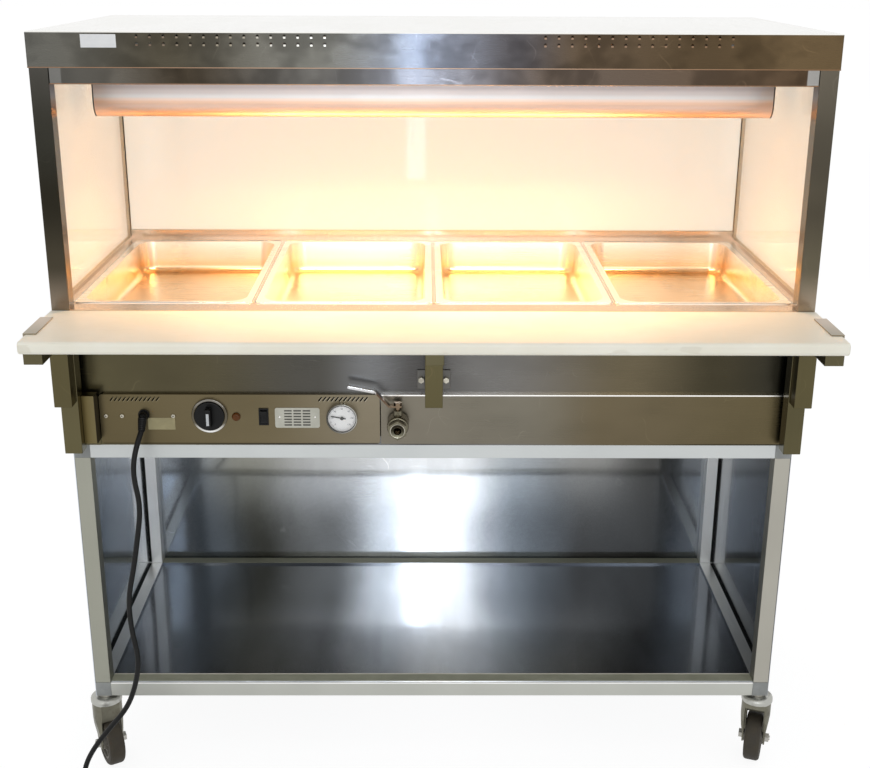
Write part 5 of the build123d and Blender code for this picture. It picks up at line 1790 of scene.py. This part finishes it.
    def add_boot(self) -> None:
        """A ribbed boot over the gland's sleeve."""
        radius, taper, rib = self.boot
        start, span = self.boot_span
        outer = []
        for i in range(self.boot_ribs + 1):
            share = i / self.boot_ribs
            outer.append((radius - taper * share + (rib if i % 2 else 0.0), start + span * share))
        profile = outer + [(self.boot_bore, start + span), (self.boot_bore, start)]
        way = down_and_out(GLAND_DROP)
        Maker.turned("gland_boot", profile, GLAND, way, self.f.black, "black", self.boot_faces)


@dataclass(frozen=True)
class SheetEdges:
    """Folded edges: hems of fascia and rail, the blank sticker, vent lips and the pans' beads; the
    hems and vent lips carry painted highlights.

    Attributes:
        f: The finishes.
        strips: Name, size, middle, edge radius, edge faces, finish and slot of each strip.
        pan_size: A pan's outside along X and Y.
        pan_corner: Radius of its rim's corners.
        bead: How far the bead's middle is inside the rim, its radius and how flat it is.
        vent_group: Middle of each group of vent holes, left or right.
        vent_lip: Width, depth and height of a pressed lip.
        vent_down: How far its middle lies below the hole's.
    """

    f: Finishes
    strips: tuple[tuple, ...] = (
        # The hem strips take a warm pale finish, a painted highlight along the folded edges.
        ("fascia_hem", (1.358, 0.0016, 0.0016), (0, POST_Y - 0.0011, 1.3972), 0.0005, 2, "hem",
         "stainless"),
        ("rail_hem", (1.290, 0.0016, 0.0016), (0, POST_Y + 0.0019, 1.3702), 0.0005, 2, "hem",
         "stainless"),
        ("blank_sticker", (0.0588, 0.0003, 0.0215), (-0.5577, POST_Y - 0.00165, 1.4401), 0.0, 1,
         "paper", "board"))
    pans: int = 4
    pan_pitch: float = 0.327
    pan_size: tuple[float, float] = (0.325, 0.530)
    pan_corner: float = 0.012
    pan_y: float = POST_Y + 0.311
    rim_z: float = 0.980
    bead: tuple[float, float, float] = (0.0016, 0.0013, 0.7)
    bead_faces: int = 8
    corner_steps: int = 8
    vent_group: float = 0.33875
    vent_count: int = 15
    vent_pitch: float = 0.02225
    vent_rows: tuple[float, float] = (1.4485, 1.4360)
    vent_lip: tuple[float, float, float] = (0.0038, 0.0006, 0.0030)
    vent_y: float = POST_Y - 0.0016
    vent_down: float = 0.0023

    def build(self) -> None:
        """Make the strips, the vents' lips and the beads."""
        for name, size, centre, edge, faces, finish, slot in self.strips:
            form = Maker.slab(size, centre, edge, faces)
            Maker.piece(name, form, getattr(self.f, finish), BAR, slot)
        self.vents()
        for number, x in enumerate(row(0.0, self.pans, self.pan_pitch), 1):
            self.pan_bead(number, x)

    def vents(self) -> None:
        """The pressed lower lip of every vent hole in the fascia, pale with a painted highlight."""
        places = [
            (x, self.vent_y, z - self.vent_down) for middle in (-self.vent_group, self.vent_group)
            for x in row(middle, self.vent_count, self.vent_pitch) for z in self.vent_rows]
        Pattern.boxes(
            "vent_lips", "Width Depth Height", self.vent_lip, places, self.f.vent_lip, "stainless")

    def pan_bead(self, number: int, x: float) -> None:
        """The bright bead round one pan's rim.

        Args:
            number: The pan's number, from the left.
            x: Its middle.
        """
        form = bmesh.new()
        inside, radius, flat = self.bead
        rings = []
        for k in range(self.bead_faces):
            t = 2 * math.pi * k / self.bead_faces
            inset = inside + radius * math.cos(t)
            z = self.rim_z + radius * flat * math.sin(t)
            corner = self.pan_corner - inset
            half_x, half_y = (size / 2 - inset - corner for size in self.pan_size)
            outline = Maker.rounded(half_x, half_y, corner, self.corner_steps)
            rings.append([form.verts.new((x + px, self.pan_y + py, z)) for px, py in outline])
        for near, far in zip(rings, rings[1:] + rings[:1]):
            for i in range(len(near)):
                j = (i + 1) % len(near)
                form.faces.new((near[i], near[j], far[j], far[i]))
        body = f"pan_{number}"
        Maker.piece(f"pan_bead_{number}", form, self.f.bright, body, "polished", ROUND_SMOOTH)


@dataclass(frozen=True)
class Drain:
    """The rim and the face of the drain valve's outlet, as profiles of radius and height."""

    f: Finishes
    outlet: tuple[float, float, float] = (-0.066, POST_Y - 0.010, 0.754)
    faces: int = 48
    rim: Profile = (
        (0.0124, 0.0), (0.0138, 0.0), (0.0139, 0.0006), (0.0133, 0.0011), (0.0124, 0.0008))
    face: Profile = ((0.0077, 0.0), (0.0124, 0.0), (0.0124, 0.0006), (0.0077, 0.0002))

    def build(self) -> None:
        """Make the rim and the face."""
        # The face's finish paints shade in the bore and light on its lower part.
        for name, profile, finish in (
                ("outlet_rim", self.rim, self.f.nickel), ("outlet_face", self.face, self.f.outlet)):
            Maker.turned(name, profile, self.outlet, FORWARD, finish, "brass", self.faces)


@dataclass(frozen=True)
class StandTrim:
    """Thin strips on the stand: the shelf's lips and bend, which carry painted reflection and a
    painted highlight, the rails' caps, and dark strips of painted shade in the gaps beside the end
    panels.

    Attributes:
        f: The finishes.
        half_width: Half the shelf's width.
        lip_y: Where the front lip starts and ends.
        film: Thickness of the lips.
        bend: Depth, height, edge radius and faces of the bend.
        seal_x: Where a dark strip of painted shade starts and ends beside an end panel.
        shade_strip: Thickness of those strips.
        rail_y: Middle of the side rails.
        seal_length: Length of the strips on the side rails.
        cap: Size of a rail's cap.
        cap_x: Its middle on the right.
    """

    f: Finishes
    half_width: float = 0.6470
    lip_y: tuple[float, float] = (POST_Y + 0.0597, POST_Y + 0.0846)
    lip_z: float = 0.1892
    film: float = 0.0004
    bend: tuple[float, float, float, int] = (0.0030, 0.0012, 0.0005, 2)
    bend_y: float = POST_Y + 0.0862
    bend_up: float = 0.0001
    rear_lip: tuple[float, float] = (0.0250, 0.0130)
    leg_face: float = POST_Y + 0.5850
    leg_z: tuple[float, float] = (0.192, 0.674)
    seal_x: tuple[float, float] = (0.6722, 0.6774)
    shade_strip: float = 0.0006
    rail_y: float = POST_Y + 0.335
    rail_z: float = 0.1880
    seal_length: float = 0.498
    cap: tuple[float, float, float] = (0.0246, 0.497, 0.0005)
    cap_x: float = 0.6598

    def build(self) -> None:
        """Make the strips."""
        width, lip_z = 2 * self.half_width, self.lip_z + self.film / 2
        near, far = self.lip_y
        deep, high, edge, faces = self.bend
        rear, behind = self.rear_lip
        front_lip = Maker.slab((width, far - near, self.film), (0, (near + far) / 2, lip_z))
        bend_at = (0, self.bend_y, self.lip_z + self.bend_up)
        bend = Maker.slab((width, deep, high), bend_at, edge, faces)
        rear_lip = Maker.slab((width, rear, self.film), (0, self.leg_face + behind, lip_z))
        # Both lips take a matt olive sheet of painted reflection, and the bend a pale strip of
        # painted highlight.
        Maker.piece("shelf_lip", front_lip, self.f.shelf_film, BAR, "polished")
        Maker.piece("shelf_bend", bend, self.f.shelf_bend, BAR, "polished")
        Maker.piece("shelf_rear_lip", rear_lip, self.f.shelf_film, BAR, "polished")
        for side, name in SIDES:
            self.add_side(side, name)

    def add_side(self, side: int, name: str) -> None:
        """The strips of painted shade and the cap on one side.

        Args:
            side: -1 for the left, 1 for the right.
            name: The side's name.
        """
        inner, outer = self.seal_x
        low, high = self.leg_z
        x, wide, half = side * ((inner + outer) / 2), outer - inner, self.shade_strip / 2
        leg_at = (x, self.leg_face - half, (low + high) / 2)
        cap_at = (side * self.cap_x, self.rail_y, self.lip_z + self.cap[2] / 2)
        rail_at = (x, self.rail_y, self.rail_z + half)
        leg, rail = (wide, self.shade_strip, high - low), (wide, self.seal_length, self.shade_strip)
        # The leg and rail strips are dark sheets of painted shade in the gaps beside the end panel.
        for part, size, centre, finish, slot in (
                ("leg_shade_strip", leg, leg_at, self.f.shade_strip, "connector"),
                ("rail_cap", self.cap, cap_at, self.f.rail_tube, "aluminium"),
                ("rail_shade_strip", rail, rail_at, self.f.shade_strip, "connector")):
            Maker.piece(f"{part}_{name}", Maker.slab(size, centre), finish, BAR, slot)


@dataclass(frozen=True)
class Lead:
    """The supply lead: from the gland down to the floor, into its coil and the plug.

    Attributes:
        radius: Radius of the lead.
        sleeve: Length of the gland's sleeve.
        lead_in: Straight length out of the sleeve.
        lean: How far to the left the lead hangs a little below the sleeve.
        coil_radius: Outer radius of the coil's middle line.
        coil_pitch: Distance between turns and between layers.
        coil_half_turns: Half turns in each layer.
        coil_low: Height of the lower layer.
        coil_at: Middle of the coil.
        coil_steps: Points on each half turn.
        swell: How far those points stand out, so that the smooth line keeps the radius.
        route: Points on the way down: to the left of the gland, from the posts, and height, in mm.
    """

    radius: float = 0.005
    sleeve: float = 0.028
    lead_in: float = 0.037
    lean: float = 0.009
    coil_radius: float = 0.054
    coil_pitch: float = 0.0106
    coil_half_turns: int = 3
    coil_low: float = 0.0063
    coil_at: tuple[float, float] = (-0.636, POST_Y - 0.137)
    coil_steps: int = 7
    swell: float = 1.026
    route: tuple[tuple[float, float, float], ...] = (
        (16, -11, 668), (6, -10, 604), (16, -10.5, 541), (27, -12, 480), (42, -14, 415),
        (40, -18, 350), (28, -23, 290), (37, -30, 235), (56, -34, 187), (93, -36, 143),
        (126, -36.5, 100), (146, -40, 62), (149, -54, 32), (152, -79, 13), (152, -104, 6.3))

    def points(self) -> list[Vector]:
        """The spline's points from the gland's tip to the plug.

        Returns:
            Points in the frame, in metres.
        """
        way = down_and_out(GLAND_DROP)
        tip = Vector(GLAND) + way * self.sleeve
        made = [tip, tip + way * self.lead_in - Vector((self.lean, 0, 0))]
        for aside, y, z in self.route:
            made.append(Vector((GLAND[0] - aside * MM, POST_Y + y * MM, z * MM)))
        return made + self.turns()

    def turns(self) -> list[Vector]:
        """Points round the coil's half turns, in, up a layer and out again.

        Returns:
            Points in the frame, in metres.
        """
        def inward(k: int) -> float:
            """Radius of a half turn."""
            return self.coil_radius - self.coil_pitch * (0.25 + 0.5 * k)

        at_x, at_y = self.coil_at
        radii = [inward(k) for k in range(self.coil_half_turns)]
        climb = inward(self.coil_half_turns)
        x, z, side = -self.coil_radius, self.coil_low, -1.0
        made = [Vector((at_x + x, at_y + 2 * self.radius, z))]
        for radius in radii + [climb] + radii[::-1]:
            centre, swell = x - side * radius, radius * self.swell
            rise = self.coil_pitch if radius == climb else 0.0
            for i in range(self.coil_steps):
                share = (i + 0.5) / self.coil_steps
                a = math.pi * (i + 0.5) / self.coil_steps
                made.append(Vector((
                    at_x + centre + side * swell * math.cos(a), at_y + side * swell * math.sin(a),
                    z + rise * share)))
            x, z, side = x - side * 2 * radius, z + rise, -side
        return made + [Vector((at_x + x, at_y + side * 2 * self.radius, z))]

    def build(self, finish: bpy.types.Material) -> None:
        """Args:
            finish: Its material.
        """
        points = self.points()
        curve = bpy.data.curves.new("supply_lead", "CURVE")
        curve.dimensions = "3D"
        curve.bevel_depth = self.radius
        curve.bevel_resolution = 5
        curve.use_fill_caps = True
        spline = curve.splines.new("NURBS")
        spline.points.add(len(points) - 1)
        for point, place in zip(spline.points, points):
            point.co = (*place, 1.0)
        spline.order_u = 3
        spline.use_endpoint_u = True
        spline.resolution_u = 8
        curve.materials.append(finish)
        lead = Maker.own(bpy.data.objects.new("supply_lead", curve), BAR, "lead")
        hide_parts("cord_stretch", "cord_coil")


@dataclass(frozen=True)
class Lamp:
    """One area lamp.

    Attributes:
        name: Its name.
        at: Its place.
        aim: The point that it faces, or straight down without one.
        size: Its width and height.
        power: Its power in watts.
        colour: Its colour.
        spread: How wide it shines, in degrees.
    """

    name: str
    at: tuple[float, float, float]
    aim: tuple[float, float, float] | None
    size: tuple[float, float]
    power: float
    colour: Colour = (1.0, 0.99, 0.97)
    spread: float = 180.0

    def hang(self) -> None:
        """Hang the lamp."""
        data = bpy.data.lights.new(self.name, "AREA")
        data.shape = "RECTANGLE"
        data.size, data.size_y = self.size
        data.energy = self.power
        data.color = self.colour
        data.spread = math.radians(self.spread)
        lamp = bpy.data.objects.new(self.name, data)
        lamp.location = self.at
        if self.aim is not None:
            way = Vector(self.aim) - Vector(self.at)
            lamp.rotation_euler = way.to_track_quat("-Z", "Y").to_euler()
        bpy.context.scene.collection.objects.link(lamp)


@dataclass(frozen=True)
class Studio:
    """Floor, world, lamps and the camera at the photograph's place.

    Attributes:
        camera_at: The camera's place.
        focal: Its focal length in pixels of the photograph.
        frame_width: The photograph's width in pixels.
        sensor: Width of the sensor in millimetres.
        pitch: How far it looks down, in degrees.
        yaw: How far it is turned to the left, in degrees.
        roll: How far it leans, in degrees.
        reach: Half the floor's width.
        floor_clouds: Clouds per metre on the floor.
        floor_tones: Darkest and palest grey of the floor.
        floor_white: Strength of the floor that is seen, and its share.
        sky: Colour and strength of the even light.
        lamps: A broad lamp above, a fill in front, a strip by the camera, the heat lamp's glow.
    """

    camera_at: tuple[float, float, float] = (-0.015, POST_Y - 2.1727, 1.575)
    focal: float = 1267.78
    frame_width: int = 870
    sensor: float = 36.0
    clip_end: float = 200.0
    pitch: float = 18.65
    yaw: float = -0.45
    roll: float = 0.24
    reach: float = 40.0
    floor_clouds: float = 0.6
    floor_tones: tuple[float, float] = (0.86, 0.9)
    floor_white: tuple[float, float] = (1.12, 0.8)
    sky: Colour = (0.98, 0.99, 1.0)
    sky_strength: float = 0.66
    lamps: tuple[Lamp, ...] = (
        Lamp("overhead", (0.2, -0.9, 3.6), (0, 0, 0.8), (3.0, 2.2), 6.0),
        Lamp("front_fill", (0.0, -5.0, 2.0), (0, 0, 0.9), (4.0, 3.0), 37.0),
        Lamp("strip", (-0.06, -2.75, 1.5), (-0.06, 0, 1.5), (0.085, 2.4), 6.0, (0.72, 0.85, 1.0)),
        Lamp("heat_glow", (0, POST_Y + 0.265, 1.288), None, (0.95, 0.06), 9.4, (1.0, 0.63, 0.335),
             130.0))

    def camera(self) -> None:
        """Place the camera."""
        data = bpy.data.cameras.new("camera")
        data.sensor_fit = "HORIZONTAL"
        data.sensor_width = self.sensor
        data.lens = self.focal / self.frame_width * data.sensor_width
        data.clip_end = self.clip_end
        camera = bpy.data.objects.new("camera", data)
        yaw, pitch, roll = (math.radians(a) for a in (self.yaw, self.pitch, self.roll))
        right = Vector((math.cos(yaw), math.sin(yaw), 0))
        ahead = Vector((-math.sin(yaw), math.cos(yaw), 0))
        up = Vector((0, 0, 1))
        look = ahead * math.cos(pitch) - up * math.sin(pitch)
        head = ahead * math.sin(pitch) + up * math.cos(pitch)
        right_r = right * math.cos(roll) + head * math.sin(roll)
        head_r = head * math.cos(roll) - right * math.sin(roll)
        turn = Matrix((right_r, head_r, -look)).transposed().to_4x4()
        camera.matrix_world = Matrix.Translation(self.camera_at) @ turn
        bpy.context.scene.collection.objects.link(camera)
        bpy.context.scene.camera = camera

    def floor(self) -> None:
        """Lay a pale floor that camera, metal and glass see as near white, with its shadow."""
        mesh = bpy.data.meshes.new("floor")
        r = self.reach
        mesh.from_pydata([(-r, -r, 0), (r, -r, 0), (r, r, 0), (-r, r, 0)], [], [(0, 1, 2, 3)])
        t = Tree("floor_pale")
        cloud = t.noise(self.floor_clouds)
        dark, pale = ((tone,) * 3 for tone in self.floor_tones)
        strength, share = self.floor_white
        ground = t.add("ShaderNodeBsdfDiffuse", None, {"Color": t.mix(cloud, dark, pale)})
        white = t.add("ShaderNodeEmission", None, {"Color": WHITE, "Strength": strength})
        mesh.materials.append(t.backdrop(ground, white, share))
        floor = bpy.data.objects.new("floor", mesh)
        bpy.context.scene.collection.objects.link(floor)

    def world(self) -> None:
        """Even soft light from above, white where camera, metal or glass sees it."""
        t = Tree("studio", world=True)
        soft, white = (
            t.add("ShaderNodeBackground", None, {"Color": colour, "Strength": strength})
            for colour, strength in ((self.sky, self.sky_strength), (WHITE, 1.0)))
        bpy.context.scene.world = t.backdrop(soft, white, 1)

    def build(self) -> None:
        """Set up the whole studio."""
        bpy.context.scene.view_settings.view_transform = "Standard"
        self.camera()
        self.floor()
        self.world()
        for lamp in self.lamps:
            lamp.hang()


def main() -> None:
    """Load the frame, build each sub-assembly over it and report."""
    logging.basicConfig(level=logging.INFO, format="%(name)s: %(message)s")
    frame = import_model()
    finishes = Finishes()
    Dresser(frame["nodes"], finishes).dress_all()
    for assembly in (Casters, Controls, SheetEdges, Drain, StandTrim):
        assembly(finishes).build()
    Lead().build(finishes.lead)
    Studio().build()


if __name__ == "__main__":
    main()
